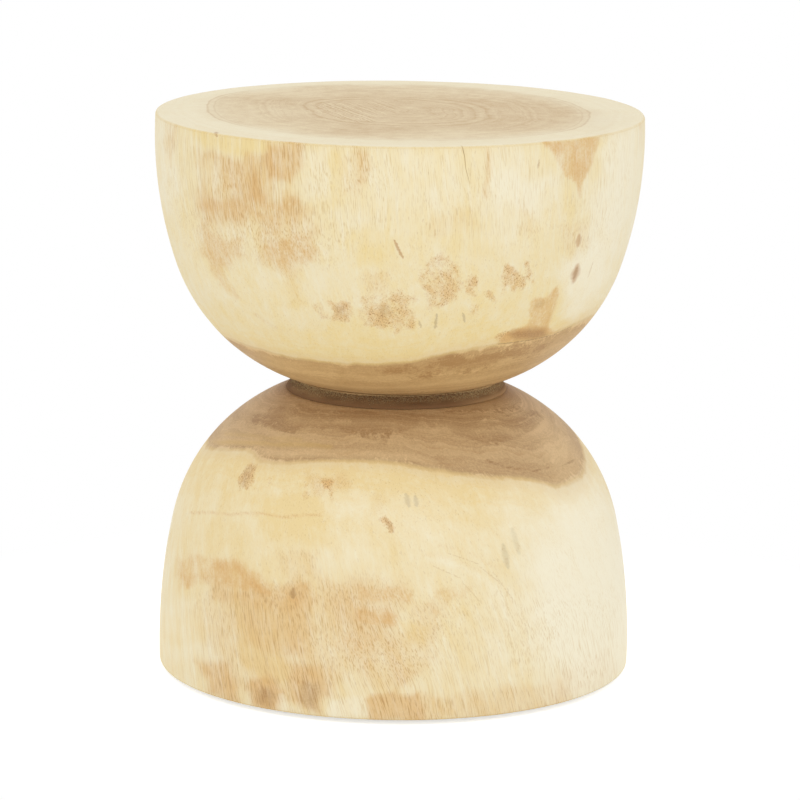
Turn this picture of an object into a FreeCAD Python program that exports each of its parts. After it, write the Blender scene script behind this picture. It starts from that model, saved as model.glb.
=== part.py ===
import FreeCAD, Part
import math
import os

# Hourglass stool table: a turned bowl with a flat top stands on a matching turned dome.
# The halves meet on a rough collar at the neck and are held by a loose tenon inside it.
# The dome stands on felt-faced glides, each held by a countersunk screw.
# Millimetres, +Z up. The origin is on the floor, under the middle of the table top.

# Upper bowl
bowl_height = 215.5
bowl_rim_radius = 196.7
bowl_rim_round = 2.5
bowl_rim_lean_deg = 3.1
bowl_shoulder_radius = 180.7
bowl_shoulder_drop = 120.4
bowl_neck_radius = 85.5
bowl_offset = 0.8

# Lower dome
dome_height = 227.0
dome_foot_radius = 192.7
dome_foot_round = 2.0
dome_foot_lean_deg = 1.9
dome_shoulder_radius = 181.8
dome_shoulder_rise = 120.8
dome_neck_radius = 90.7

# Rough collar between the halves
collar_height = 10.5
collar_setback = 0.8

# Loose tenon in the neck, and its sockets
tenon_radius = 30.0
tenon_clearance = 0.15
tenon_end_gap = 1.5
tenon_chamfer = 3.0
socket_depth = 55.0
flute_radius = 1.6
flute_count = 12

# Floor glides: a cup, a felt ring in the cup's groove, and a screw through its boss
glide_circle_radius = 158.0
glide_angles_deg = {"front_left": 225, "front_right": 315, "back_right": 45, "back_left": 135}
cup_radius = 15.0
cup_thickness = 2.6
cup_edge_round = 0.6
felt_radius = 13.2
felt_hole_radius = 5.2
felt_thickness = 2.4
felt_groove_depth = 1.0
felt_clearance = 0.1
screw_head_radius = 3.4
screw_shank_radius = 1.75
screw_length = 20.0
screw_tip_length = 3.5
screw_clearance = 0.05
drive_slot_length = 3.8
drive_slot_width = 0.9
drive_slot_depth = 1.1
pilot_spare_depth = 2.0

# How far a cutting tool runs past the face that it enters
overrun = 1.0

# Share of a size within which two sizes count as the same
same_size_share = 1e-6
litre = 1e6

# Levels of the stack, from the floor up
glide_height = cup_thickness - felt_groove_depth + felt_thickness
dome_top = glide_height + dome_height
bowl_underside = dome_top + collar_height
table_top = bowl_underside + bowl_height

# The dome and the tenon share one axis, and the bowl's own axis is off it
dome_axis_x = -bowl_offset
neck_base = FreeCAD.Vector(dome_axis_x, 0, 0)
up = FreeCAD.Vector(0, 0, 1)


def profile_point(radius, height):
    return FreeCAD.Vector(radius, 0, height)


def leaving_direction(lean_deg, sense):
    """Unit direction along a wall that leans outwards, going up (sense 1) or down (sense -1)."""
    lean = math.radians(lean_deg)
    return FreeCAD.Vector(math.sin(lean), 0, sense * math.cos(lean))


def arc_leaving(start, direction, end):
    """The arc that leaves start along direction and passes through end, with its direction there."""
    chord = end - start
    along = FreeCAD.Vector(chord).normalize()
    inward = direction - along * direction.dot(along)
    half_turn = math.acos(direction.dot(along))
    sagitta = chord.Length / 2 * math.tan(half_turn / 2)
    middle = start + chord / 2 + FreeCAD.Vector(inward).normalize() * sagitta
    end_direction = along * (2 * direction.dot(along)) - direction
    return Part.Arc(start, middle, end).toShape(), end_direction


def turned_half(edge_point, lean_deg, sense, shoulder, neck_point):
    """A half of the hourglass: a gentle wall arc, a tighter belly arc, and two flat ends."""
    wall, direction = arc_leaving(edge_point, leaving_direction(lean_deg, sense), shoulder)
    belly, _ = arc_leaving(shoulder, direction, neck_point)
    neck_centre = profile_point(0, neck_point.z)
    edge_centre = profile_point(0, edge_point.z)
    outline = [
        wall,
        belly,
        Part.makeLine(neck_point, neck_centre),
        Part.makeLine(neck_centre, edge_centre),
        Part.makeLine(edge_centre, edge_point),
    ]
    face = Part.Face(Part.Wire(Part.__sortEdges__(outline)))
    return face.revolve(FreeCAD.Vector(), up, 360)


def round_edge(solid, edge_radius, edge_height, rounding):
    """Rounds the full circle of that radius at that height."""
    rim = [
        edge
        for edge in solid.Edges
        if isinstance(edge.Curve, Part.Circle)
        and math.isclose(edge.Curve.Radius, edge_radius, rel_tol=same_size_share)
        and math.isclose(edge.Curve.Center.z, edge_height, rel_tol=same_size_share)
    ]
    return solid.makeFillet(rounding, rim)


def bored_at_neck(solid, mouth_height, sense):
    """Cuts the tenon's flat-bottomed socket, which runs up (sense 1) or down (sense -1) from its mouth."""
    mouth = neck_base + up * (mouth_height - sense * overrun)
    socket = Part.makeCylinder(
        tenon_radius + tenon_clearance, socket_depth + overrun, mouth, up * sense
    )
    return solid.cut(socket)


def upper_bowl():
    bowl = turned_half(
        profile_point(bowl_rim_radius, table_top),
        bowl_rim_lean_deg,
        -1,
        profile_point(bowl_shoulder_radius, table_top - bowl_shoulder_drop),
        profile_point(bowl_neck_radius, bowl_underside),
    )
    bowl = round_edge(bowl, bowl_rim_radius, table_top, bowl_rim_round)
    return bored_at_neck(bowl, bowl_underside, 1)


def lower_dome():
    dome = turned_half(
        profile_point(dome_foot_radius, glide_height),
        dome_foot_lean_deg,
        1,
        profile_point(dome_shoulder_radius, glide_height + dome_shoulder_rise),
        profile_point(dome_neck_radius, dome_top),
    )
    dome = round_edge(dome, dome_foot_radius, glide_height, dome_foot_round)
    dome.translate(neck_base)
    dome = bored_at_neck(dome, dome_top, -1)
    pilot_depth = screw_length - cup_thickness + pilot_spare_depth
    for centre in glide_centres().values():
        mouth = centre + up * (glide_height - overrun)
        pilot = Part.makeCylinder(
            screw_shank_radius + screw_clearance, pilot_depth + overrun, mouth, up
        )
        dome = dome.cut(pilot)
    return dome


def ring_wire(centre, radius):
    return Part.Wire(Part.makeCircle(radius, centre, up))


def neck_collar():
    """A flared ring from the dome's top to the bowl's underside, whose axes are not quite in line."""
    lower = ring_wire(neck_base + up * dome_top, dome_neck_radius - collar_setback)
    upper = ring_wire(up * bowl_underside, bowl_neck_radius - collar_setback)
    flare = Part.makeLoft([lower, upper], True, True)
    bore = Part.makeCylinder(
        tenon_radius + tenon_clearance,
        collar_height + 2 * overrun,
        neck_base + up * (dome_top - overrun),
        up,
    )
    return flare.cut(bore)


def neck_tenon():
    """A turned hardwood tenon with eased ends and glue flutes down its side."""
    length = 2 * (socket_depth - tenon_end_gap) + collar_height
    foot = neck_base + up * (dome_top - socket_depth + tenon_end_gap)
    tenon = Part.makeCylinder(tenon_radius, length, foot, up)
    ends = [edge for edge in tenon.Edges if isinstance(edge.Curve, Part.Circle)]
    tenon = tenon.makeChamfer(tenon_chamfer, ends)
    for index in range(flute_count):
        angle = math.tau * index / flute_count
        outward = FreeCAD.Vector(math.cos(angle), math.sin(angle), 0)
        groove_foot = foot + outward * tenon_radius - up * overrun
        tenon = tenon.cut(Part.makeCylinder(flute_radius, length + 2 * overrun, groove_foot, up))
    return tenon


def glide_centres():
    """Where each glide stands, on the floor, by name."""
    centres = {}
    for place, angle_deg in glide_angles_deg.items():
        angle = math.radians(angle_deg)
        outward = FreeCAD.Vector(math.cos(angle), math.sin(angle), 0)
        centres[place] = neck_base + outward * glide_circle_radius
    return centres


def ring(outer_radius, inner_radius, thickness, base):
    outer = Part.makeCylinder(outer_radius, thickness, base, up)
    inner = Part.makeCylinder(inner_radius, thickness + 2 * overrun, base - up * overrun, up)
    return outer.cut(inner)


def countersunk_form(base, tip_length, allowance):
    """A screw's outline, point up: its head's flat face is at base, and allowance makes a hole for it."""
    head_radius = screw_head_radius + allowance
    shank_radius = screw_shank_radius + allowance
    head_depth = screw_head_radius - screw_shank_radius
    head = Part.makeCone(head_radius, shank_radius, head_depth, base, up)
    shank_length = screw_length - head_depth - tip_length
    shank = Part.makeCylinder(shank_radius, shank_length, base + up * head_depth, up)
    form = head.fuse(shank)
    if tip_length > 0:
        tip_base = base + up * (screw_length - tip_length)
        form = form.fuse(Part.makeCone(shank_radius, 0, tip_length, tip_base, up))
    return form.removeSplitter()


def glide_cup(centre):
    """A moulded disc with a groove for the felt ring and a countersunk boss in the middle."""
    base = centre + up * (glide_height - cup_thickness)
    cup = Part.makeCylinder(cup_radius, cup_thickness, base, up)
    floor_side = [
        edge
        for edge in cup.Edges
        if isinstance(edge.Curve, Part.Circle) and math.isclose(edge.Curve.Center.z, base.z)
    ]
    cup = cup.makeFillet(cup_edge_round, floor_side)
    groove = ring(
        felt_radius + felt_clearance,
        felt_hole_radius - felt_clearance,
        felt_groove_depth + overrun,
        base - up * overrun,
    )
    return cup.cut(groove).cut(countersunk_form(base, 0, screw_clearance))


def glide_felt(centre):
    return ring(felt_radius, felt_hole_radius, felt_thickness, centre)


def glide_screw(centre):
    """A countersunk wood screw with a cross recess; its shank is plain."""
    base = centre + up * (glide_height - cup_thickness)
    screw = countersunk_form(base, screw_tip_length, 0)
    for turn_deg in (0, 90):
        slot = Part.makeBox(drive_slot_length, drive_slot_width, drive_slot_depth + overrun)
        slot.translate(FreeCAD.Vector(-drive_slot_length / 2, -drive_slot_width / 2, -overrun))
        slot.rotate(FreeCAD.Vector(), up, turn_deg)
        slot.translate(base)
        screw = screw.cut(slot)
    return screw


def all_pieces():
    pieces = {
        "upper_bowl": upper_bowl(),
        "lower_dome": lower_dome(),
        "neck_collar": neck_collar(),
        "neck_tenon": neck_tenon(),
    }
    for place, centre in glide_centres().items():
        pieces[f"glide_cup_{place}"] = glide_cup(centre)
        pieces[f"glide_felt_{place}"] = glide_felt(centre)
        pieces[f"glide_screw_{place}"] = glide_screw(centre)
    return pieces


os.makedirs("parts", exist_ok=True)
for name, shape in all_pieces().items():
    shape.exportStep(f"parts/{name}.step")
    litres = round(shape.Volume / litre, 5)
    print(name, "valid", shape.isValid(), "solids", len(shape.Solids), "litres", litres)
print("height", table_top, "widest", round(2 * bowl_rim_radius, 1))
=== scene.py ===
import math

import bpy
import numpy as np
from mathutils import Matrix, Vector
from mathutils.bvhtree import BVHTree


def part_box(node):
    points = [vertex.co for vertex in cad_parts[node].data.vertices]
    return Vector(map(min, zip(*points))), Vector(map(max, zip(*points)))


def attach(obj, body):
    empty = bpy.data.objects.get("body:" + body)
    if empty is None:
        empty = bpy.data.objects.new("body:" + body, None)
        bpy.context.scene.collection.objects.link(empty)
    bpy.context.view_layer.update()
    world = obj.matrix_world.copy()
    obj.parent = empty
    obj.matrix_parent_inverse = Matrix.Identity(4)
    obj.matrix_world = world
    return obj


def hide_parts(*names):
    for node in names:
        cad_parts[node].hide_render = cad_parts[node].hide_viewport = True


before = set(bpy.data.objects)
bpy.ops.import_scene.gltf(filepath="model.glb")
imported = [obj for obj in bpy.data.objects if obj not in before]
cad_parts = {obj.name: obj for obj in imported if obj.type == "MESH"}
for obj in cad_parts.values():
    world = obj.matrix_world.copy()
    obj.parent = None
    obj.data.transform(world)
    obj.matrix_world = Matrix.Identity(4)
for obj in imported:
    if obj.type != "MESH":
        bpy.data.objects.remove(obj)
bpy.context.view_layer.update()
scene = bpy.context.scene
scene.view_settings.view_transform = "Standard"
mm = 0.001
print("frame loaded with", len(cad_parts), "nodes")

# The camera stands where the photograph was taken from
photoView = {
    "pixels": 800,  # the photograph is square
    "focalPixels": 4109.6,
    "sensorWidth": 36.0,
    "eye": (0.0025, -3.2818, 0.9029),
    "pitch": 11.755,  # degrees below the horizon
    "roll": 0.65,  # degrees, the right side is lower
}


def makeCamera(values):
    data = bpy.data.cameras.new("photoCamera")
    data.sensor_width = values["sensorWidth"]
    data.lens = values["focalPixels"] / values["pixels"] * values["sensorWidth"]
    camera = bpy.data.objects.new("photoCamera", data)
    tilt = Matrix.Rotation(math.radians(90 - values["pitch"]), 4, "X")
    roll = Matrix.Rotation(math.radians(values["roll"]), 4, "Z")
    camera.matrix_world = Matrix.Translation(values["eye"]) @ tilt @ roll
    scene.collection.objects.link(camera)
    scene.camera = camera
    return camera


camera = makeCamera(photoView)


def photoRay(pixel):
    half = photoView["pixels"] / 2
    focal = photoView["focalPixels"]
    local = Vector(((pixel[0] - half) / focal, (half - pixel[1]) / focal, -1))
    turned = camera.matrix_basis.to_3x3() @ local
    return Vector(photoView["eye"]), turned.normalized()


def photoPixels(points):
    toCamera = np.array(camera.matrix_basis.inverted())
    local = points @ toCamera[:3, :3].T + toCamera[:3, 3]
    spread = photoView["focalPixels"] / -local[:, 2]
    half = photoView["pixels"] / 2
    return np.column_stack([half + local[:, 0] * spread, half - local[:, 1] * spread])


# Small helpers for node trees
def srgb(colour):
    channels = []
    for level in colour:
        share = level / 255
        channels.append(share / 12.92 if share <= 0.04045 else ((share + 0.055) / 1.055) ** 2.4)
    return (*channels, 1)


def feed(tree, socket, value):
    if isinstance(value, bpy.types.NodeSocket):
        tree.links.new(value, socket)
    else:
        socket.default_value = value


def addNode(tree, kind, feeds=None, **settings):
    node = tree.nodes.new(kind)
    for key, value in settings.items():
        setattr(node, key, value)
    for label, value in (feeds or {}).items():
        feed(tree, node.inputs[label], value)
    return node


def calc(tree, operation, *values, clamp=False):
    given = dict(enumerate(values))
    return addNode(tree, "ShaderNodeMath", given, operation=operation, use_clamp=clamp).outputs[0]


def times(tree, first, *others):
    for other in others:
        first = calc(tree, "MULTIPLY", first, other)
    return first


def weigh(tree, start, *pairs, clamp=False):
    total = start
    for value, weight in pairs:
        total = calc(tree, "MULTIPLY_ADD", value, weight, total)
    total.node.use_clamp = clamp
    return total


def vectorCalc(tree, operation, *values):
    node = addNode(tree, "ShaderNodeVectorMath", dict(enumerate(values)), operation=operation)
    return node.outputs["Value" if operation in ("LENGTH", "DOT_PRODUCT") else "Vector"]


def scaled(tree, vector, factor):
    given = {"Vector": vector, "Scale": factor}
    return addNode(tree, "ShaderNodeVectorMath", given, operation="SCALE").outputs["Vector"]


def splitVector(tree, vector):
    return addNode(tree, "ShaderNodeSeparateXYZ", {0: vector}).outputs


def step(tree, value, low, high, atLow=0.0, atHigh=1.0):
    given = {"Value": value, "From Min": low, "From Max": high, "To Min": atLow, "To Max": atHigh}
    return addNode(tree, "ShaderNodeMapRange", given, interpolation_type="SMOOTHSTEP").outputs["Result"]


def mixColour(tree, share, first, second):
    given = {0: share, 6: first, 7: second}  # the colour sockets come after those of the other kinds
    return addNode(tree, "ShaderNodeMix", given, data_type="RGBA", clamp_factor=True).outputs[2]


def noise(tree, place, detail=2.0, roughness=0.5, dimensions="3D"):
    label = "W" if dimensions == "1D" else "Vector"
    given = {label: place, "Scale": 1.0, "Detail": detail, "Roughness": roughness}
    return addNode(tree, "ShaderNodeTexNoise", given, noise_dimensions=dimensions).outputs


def newGroup(name, inputs, outputs, kind="ShaderNodeTree"):
    tree = bpy.data.node_groups.new(name, kind)
    for side, labels in (("INPUT", inputs), ("OUTPUT", outputs)):
        for label, socket in labels.items():
            tree.interface.new_socket(label, in_out=side, socket_type="NodeSocket" + socket)
    return tree, tree.nodes.new("NodeGroupInput").outputs, tree.nodes.new("NodeGroupOutput").inputs


def placeGroup(tree, group, values):
    return addNode(tree, "ShaderNodeGroup", values, node_tree=group).outputs


def newMaterial(name):
    material = bpy.data.materials.new(name)
    material.use_nodes = True
    material.node_tree.nodes.clear()
    return material, material.node_tree


def showSurface(tree, colour, roughness, height, relief, shine):
    bump = addNode(tree, "ShaderNodeBump", {"Height": height, **relief})
    given = {"Base Color": colour, "Roughness": roughness, "Normal": bump.outputs[0], **shine}
    shader = addNode(tree, "ShaderNodeBsdfPrincipled", given)
    addNode(tree, "ShaderNodeOutputMaterial", {"Surface": shader.outputs[0]})


def objectPlace(tree):
    return addNode(tree, "ShaderNodeTexCoord").outputs["Object"]


# Grain of a standing log: noises around zero, each with its widths and length in millimetres
grainSizes = {
    "Band": (11.0, 11.0, 120.0),
    "Streak": (3.4, 3.4, 60.0),
    "Fibre": (1.7, 1.7, 30.0),
    "Hair": (0.7, 0.7, 15.0),
    "Pore": (1.0, 1.0, 7.0),
    "Speck": (0.8, 0.8, 1.3),
    "Clot": (6.0, 6.0, 8.0),
    "Blotch": (62.0, 62.0, 70.0),
    "Mottle": (15.0, 15.0, 19.0),
    "Grit": (1.5, 1.5, 1.5),
}
grainDetail = {"Hair": 1.0, "Pore": 1.0, "Speck": 1.0, "Blotch": 3.0, "Mottle": 4.0, "Clot": 3.0}
plainDetail = 2.0
grainRoughness = 0.6
grainWander = {"length": 90.0, "reach": 16.0}  # mm
grainInputs = {"Place": "Vector", "Twist": "Float", "Seed": "Vector"}


def aroundZero(tree, place, detail, dimensions="3D"):
    return calc(tree, "SUBTRACT", noise(tree, place, detail, grainRoughness, dimensions)[0], 0.5)


def logGrainGroup():
    tree, given, result = newGroup("logGrain", grainInputs, {label: "Float" for label in grainSizes})
    inMm = scaled(tree, given["Place"], 1 / mm)
    lean = times(tree, splitVector(tree, inMm)["Z"], given["Twist"])
    turned = addNode(tree, "ShaderNodeVectorRotate", {"Vector": inMm, "Angle": lean}, rotation_type="Z_AXIS")
    seeded = vectorCalc(tree, "ADD", turned.outputs[0], given["Seed"])
    wander = noise(tree, scaled(tree, seeded, 1 / grainWander["length"]), 1.0)["Color"]
    woven = vectorCalc(tree, "ADD", seeded, scaled(tree, wander, grainWander["reach"]))
    for label, size in grainSizes.items():
        place = vectorCalc(tree, "DIVIDE", woven, size)
        feed(tree, result[label], aroundZero(tree, place, grainDetail.get(label, plainDetail)))
    return tree


logGrain = logGrainGroup()

# Figured wood: sapwood, heartwood and the marks that are painted on each half as attributes
woodLayers = ("Heart", "End", "Stain", "Lobe", "Speckle", "Smudge", "Yellow", "Pale", "Fibrous", "Deep",
              "Saw", "NeckShadeSoil", "RimWearAndHighlight", "Crack")
woodColours = ("Cream", "Straw", "Clear", "Line", "Tan", "Speck", "Umber", "Heart Pale", "Heart Deep",
               "Heart Edge", "End Sap", "End Pale", "End Deep", "Dirt")
ringWidths = {"broad": 6.0, "fine": 1.6, "flame": 15.0}  # mm
sawMarks = {"across": (0.93, 0.37, 0.0), "apart": 1.9}  # a direction on the top, and mm
# Where each feature starts and is full, and its shares there if they are not 0 and 1
woodRamps = {
    "nearHeart": (-32.0, -1.0),  # mm inside the heartwood's edge
    "paleStreaks": (0.0, -0.2),
    "lines": (0.03, 0.17),
    "wispyStain": (0.06, 1.06, 0.0, 0.5),
    "softStain": (0.0, 1.0, 0.0, 0.52),
    "stainStreaks": (0.02, 0.18, 0.0, 0.42),
    "lobe": (0.05, 1.1),
    "cluster": (0.25, 1.3),
    "dots": (0.03, 0.19),
    "deepBands": (0.3, 0.75),
    "contour": (0.02, 0.0),
    "contourPlaces": (-0.02, 0.1, 0.0, 0.25),
    "wallHeart": (-2.4, 2.4),  # mm
    "endHeart": (-15.0, 22.0),  # mm
    "bled": (-10.0, 0.5, 0.0, 0.36),  # mm
    "rind": (1.8, 0.3, 0.0, 0.26),  # mm
    "outerLine": (1.4, 0.2, 0.0, 0.4),  # mm
    "innerLine": (1.2, 0.2, 0.0, 0.3),  # mm
    "lineSides": (80.0, 135.0, 0.3, 1.0),  # mm from the middle
    "pores": (0.14, 0.25),
    "poreDents": (0.1, 0.24),
}
fullTint = {"endSap": 0.6, "cluster": 0.58}
# A painted mark is broken up fully where its share times this reaches 1
markGains = {"Stain": 2.5, "Lobe": 2.5, "Speckle": 2.5, "Deep": 2.0}


# Weights that are given by name belong to kinds of grain or to painted layers
class WoodTree:
    def __init__(self):
        inputs = {**grainInputs, "Wisp": "Float", "Hairy": "Float"}
        inputs.update({label: "Float" for label in woodLayers})
        inputs.update({label: "Color" for label in woodColours})
        outputs = {"Colour": "Color", "Roughness": "Float", "Height": "Float"}
        self.tree, self.given, self.result = newGroup("figuredWood", inputs, outputs)
        grain = placeGroup(self.tree, logGrain, {label: self.given[label] for label in grainInputs})
        self.grain = {label: grain[label] for label in grainSizes}
        self.inMm = scaled(self.tree, self.given["Place"], 1 / mm)
        self.onWall = self.weigh(1.0, End=-1.0)
        # Growth rings follow the edge of the heartwood
        ringPlace = self.weigh(self.given["Heart"], Blotch=18.0, Mottle=7.0, Hair=1.2)
        flamePlace = self.weigh(ringPlace, Streak=14.0, Fibre=9.0, Mottle=14.0)
        self.ring = self.rings(ringPlace, ringWidths["broad"], 3.0)
        self.fineRing = self.rings(ringPlace, ringWidths["fine"])
        self.flame = self.rings(flamePlace, ringWidths["flame"])

    def weigh(self, start, *pairs, clamp=False, **weights):
        named = []
        for label, weight in weights.items():
            source = self.grain if label in self.grain else self.given
            named.append((source[label], weight))
        return weigh(self.tree, start, *named, *pairs, clamp=clamp)

    def times(self, *values):
        return times(self.tree, *values)

    def distance(self, value):
        return calc(self.tree, "ABSOLUTE", value)

    def rings(self, place, width, detail=plainDetail):
        return aroundZero(self.tree, calc(self.tree, "DIVIDE", place, width), detail, "1D")

    def ramp(self, label, value):
        return step(self.tree, value, *woodRamps[label])

    def tint(self, colour, label, share):
        return mixColour(self.tree, share, colour, self.given[label])

    def brokenUp(self, layer, breaks):
        inside = calc(self.tree, "MULTIPLY", self.given[layer], markGains[layer], clamp=True)
        return self.weigh(self.given[layer], (breaks, inside))


# Sapwood runs from cream to straw, yellowest beside the heartwood
def sapwood(wood):
    given, grain = wood.given, wood.grain
    nearHeart = wood.times(wood.ramp("nearHeart", given["Heart"]), wood.onWall)
    ringed = wood.times(wood.ring, nearHeart)
    tone = wood.weigh(0.4, (nearHeart, 0.55), (ringed, 2.4), clamp=True, Blotch=1.0, Mottle=0.9, Band=1.0,
                      Streak=0.5, Fibre=0.3, Grit=0.3, Yellow=0.7, Pale=-0.4)
    sap = wood.tint(given["Cream"], "Straw", tone)
    sap = wood.tint(sap, "Clear", wood.weigh(0.0, Pale=0.7))
    endTone = wood.weigh(0.2, (wood.ring, 1.3), (wood.fineRing, 0.6), clamp=True, Mottle=0.7, Grit=0.7)
    endSap = wood.tint(given["End Sap"], "End Pale", wood.times(endTone, fullTint["endSap"]))
    sap = mixColour(wood.tree, wood.weigh(0.0, End=0.85), sap, endSap)
    loose = wood.times(given["Fibrous"], wood.weigh(1.0, Yellow=-0.8))
    paler = wood.times(wood.ramp("paleStreaks", grain["Streak"]), wood.weigh(0.06, (loose, 0.2)))
    sap = wood.tint(sap, "Clear", paler)
    lined = wood.weigh(0.13, (loose, 0.38), clamp=True, Stain=0.3, Mottle=0.6, Band=0.4)
    return wood.tint(sap, "Line", wood.times(lined, wood.onWall, wood.ramp("lines", grain["Hair"])))


# Stains soak along the fibres and end in wisps, and lobes are smooth
def stained(wood, sap):
    given = wood.given
    wisps = wood.times(wood.weigh(0.0, Streak=0.5, Fibre=0.7, Hair=0.6), given["Wisp"])
    wisps = wood.weigh(wisps, Mottle=0.5, Clot=0.25, Grit=0.3)
    wispy = wood.ramp("wispyStain", wood.brokenUp("Stain", wisps))
    stain = calc(wood.tree, "ADD", wispy, wood.ramp("softStain", given["Stain"]))
    stain = wood.times(stain, wood.weigh(1.0, Pale=-0.7))
    sap = wood.tint(sap, "Tan", wood.times(stain, wood.weigh(0.95, Hairy=-0.2)))
    streaks = wood.ramp("stainStreaks", wood.weigh(wood.grain["Hair"], Pore=0.4))
    sap = wood.tint(sap, "Speck", wood.times(streaks, wood.weigh(1.0, Hairy=0.5), stain))
    mottled = wood.weigh(0.0, Mottle=0.6, Clot=0.4, Fibre=0.3, Grit=0.4)
    return wood.tint(sap, "Tan", wood.ramp("lobe", wood.brokenUp("Lobe", mottled)))


# Clusters of dark pores on a tan ground, broken into clots
def speckled(wood, sap):
    grain = wood.grain
    clots = wood.weigh(0.0, Clot=1.9, Mottle=0.9, Grit=0.8)
    cluster = wood.ramp("cluster", wood.brokenUp("Speckle", clots))
    sap = wood.tint(sap, "Tan", wood.times(cluster, fullTint["cluster"]))
    dots = wood.times(grain["Speck"], wood.weigh(1.0, Hairy=-1.0))
    dots = wood.weigh(dots, (grain["Hair"], wood.weigh(0.0, Hairy=1.6)))
    return wood.tint(sap, "Speck", wood.times(wood.ramp("dots", dots), cluster))


# Heartwood, with torn darker bands
def heartwood(wood):
    given = wood.given
    torn = wood.weigh(0.0, Streak=0.6, Fibre=0.4, Mottle=1.1, Clot=0.5)
    deep = wood.ramp("deepBands", wood.brokenUp("Deep", torn))
    depth = wood.weigh(0.38, (wood.flame, 1.4), (wood.ring, 0.8), (wood.fineRing, 0.6), (deep, 0.42),
                       clamp=True, Grit=0.6, Hair=0.3, Blotch=0.6, Pale=-0.5)
    heart = wood.tint(given["Heart Pale"], "Heart Deep", depth)
    contour = wood.ramp("contour", wood.distance(wood.ring))
    contour = wood.times(contour, wood.ramp("contourPlaces", wood.grain["Blotch"]))
    heart = wood.tint(heart, "Speck", contour)
    return wood.tint(heart, "Heart Edge", wood.weigh(0.0, Yellow=0.45))


# End grain on the flats, with saw marks that sanding has left
def endHeartwood(wood):
    sawn = vectorCalc(wood.tree, "DOT_PRODUCT", wood.inMm, sawMarks["across"])
    sawn = wood.rings(wood.weigh(sawn, Mottle=5.0), sawMarks["apart"])
    sawn = wood.times(sawn, wood.given["Saw"], wood.weigh(0.5, clamp=True, Clot=2.0, Grit=1.0))
    depth = wood.weigh(0.2, (wood.ring, 1.0), (wood.fineRing, 0.4), (sawn, 8.0), clamp=True, Deep=0.42,
                       Blotch=0.9, Mottle=0.9, Clot=0.6, Grit=0.8)
    return wood.tint(wood.given["End Pale"], "End Deep", depth)


# The heartwood bleeds a little, and has a rind on the wall and two thin ring lines on the flats
def withHeart(wood, sap):
    given = wood.given
    heart = mixColour(wood.tree, given["End"], heartwood(wood), endHeartwood(wood))
    wallEdge = wood.weigh(given["Heart"], Mottle=3.0, Hair=0.2, Grit=0.3)
    endEdge = wood.weigh(given["Heart"], Blotch=20.0, Mottle=9.0)
    wallHeart = wood.times(wood.ramp("wallHeart", wallEdge), wood.onWall)
    inHeart = wood.weigh(wallHeart, (wood.ramp("endHeart", endEdge), given["End"]))
    sap = wood.tint(sap, "Heart Pale", wood.times(wood.ramp("bled", wallEdge), wood.onWall))
    colour = mixColour(wood.tree, inHeart, sap, heart)
    rind = wood.ramp("rind", wood.distance(wood.weigh(0.6, (wallEdge, 1.0))))
    colour = wood.tint(colour, "Heart Edge", wood.times(rind, wood.onWall))
    outer = wood.ramp("outerLine", wood.distance(wood.weigh(given["Heart"], Blotch=9.0)))
    inner = wood.ramp("innerLine", wood.distance(wood.weigh(-5.5, Heart=1.0, Blotch=9.0)))
    lines = calc(wood.tree, "MAXIMUM", outer, inner)
    atSides = wood.ramp("lineSides", wood.distance(splitVector(wood.tree, wood.inMm)["X"]))
    return wood.tint(colour, "End Deep", wood.times(lines, atSides, given["End"]))


def figuredWoodGroup():
    wood = WoodTree()
    given, grain = wood.given, wood.grain
    colour = withHeart(wood, speckled(wood, stained(wood, sapwood(wood))))
    # Pores, the rim's tint of wear together with a painted highlight, soiled places, and painted shade
    # beside the collar
    pores = wood.weigh(0.2, clamp=True, Blotch=0.6, Pale=-0.14)
    colour = wood.tint(colour, "Speck", wood.times(wood.ramp("pores", grain["Pore"]), pores))
    colour = wood.tint(colour, "Heart Edge", wood.weigh(0.0, RimWearAndHighlight=0.22))
    darkened = wood.weigh(0.85, clamp=True, Hair=1.0, Grit=1.0)
    # The layer beside the collar darkens the dome there: painted shade under the bowl, together with soil
    for layer in ("Smudge", "NeckShadeSoil"):
        colour = wood.tint(colour, "Umber", wood.times(given[layer], darkened))
    dents = wood.ramp("poreDents", grain["Pore"])
    feed(wood.tree, wood.result["Colour"], wood.tint(colour, "Dirt", given["Crack"]))
    feed(wood.tree, wood.result["Roughness"], wood.weigh(0.56, Fibre=0.2, Stain=0.06))
    feed(wood.tree, wood.result["Height"], wood.weigh(grain["Hair"], (dents, -0.5), Grit=0.25))
    return wood.tree


figuredWood = figuredWoodGroup()

# Colours are written as they show on a screen, 0 to 255
bowlWood = {
    "Twist": 0.0005,  # radians a millimetre, which leans the fibres
    "Wisp": 0.9,  # how far stains run along the fibres
    "Hairy": 0.1,  # share of the speckles drawn as short hairs
    "Seed": (31.0, 4.0, 12.0),  # mm
    "Cream": (240, 228, 194),
    "Straw": (238, 216, 157),
    "Clear": (248, 241, 218),
    "Line": (214, 186, 132),
    "Tan": (217, 171, 106),
    "Speck": (174, 128, 76),
    "Umber": (156, 112, 66),
    "Heart Pale": (224, 190, 134),
    "Heart Deep": (176, 136, 86),
    "Heart Edge": (206, 172, 100),
    "End Sap": (234, 224, 195),
    "End Pale": (224, 206, 169),
    "End Deep": (196, 165, 120),
    "Dirt": (150, 114, 68),
}
domeWood = {
    **bowlWood,
    "Twist": 0.0016,
    "Wisp": 0.3,
    "Hairy": 0.75,
    "Straw": (235, 212, 157),
    "Seed": (150.0, 77.0, 41.0),
    "Heart Pale": (218, 187, 140),
    "Heart Deep": (166, 131, 89),
}
woodRelief = {"Strength": 0.3, "Distance": 0.3 * mm}
woodShine = {"Specular IOR Level": 0.35}


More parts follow.
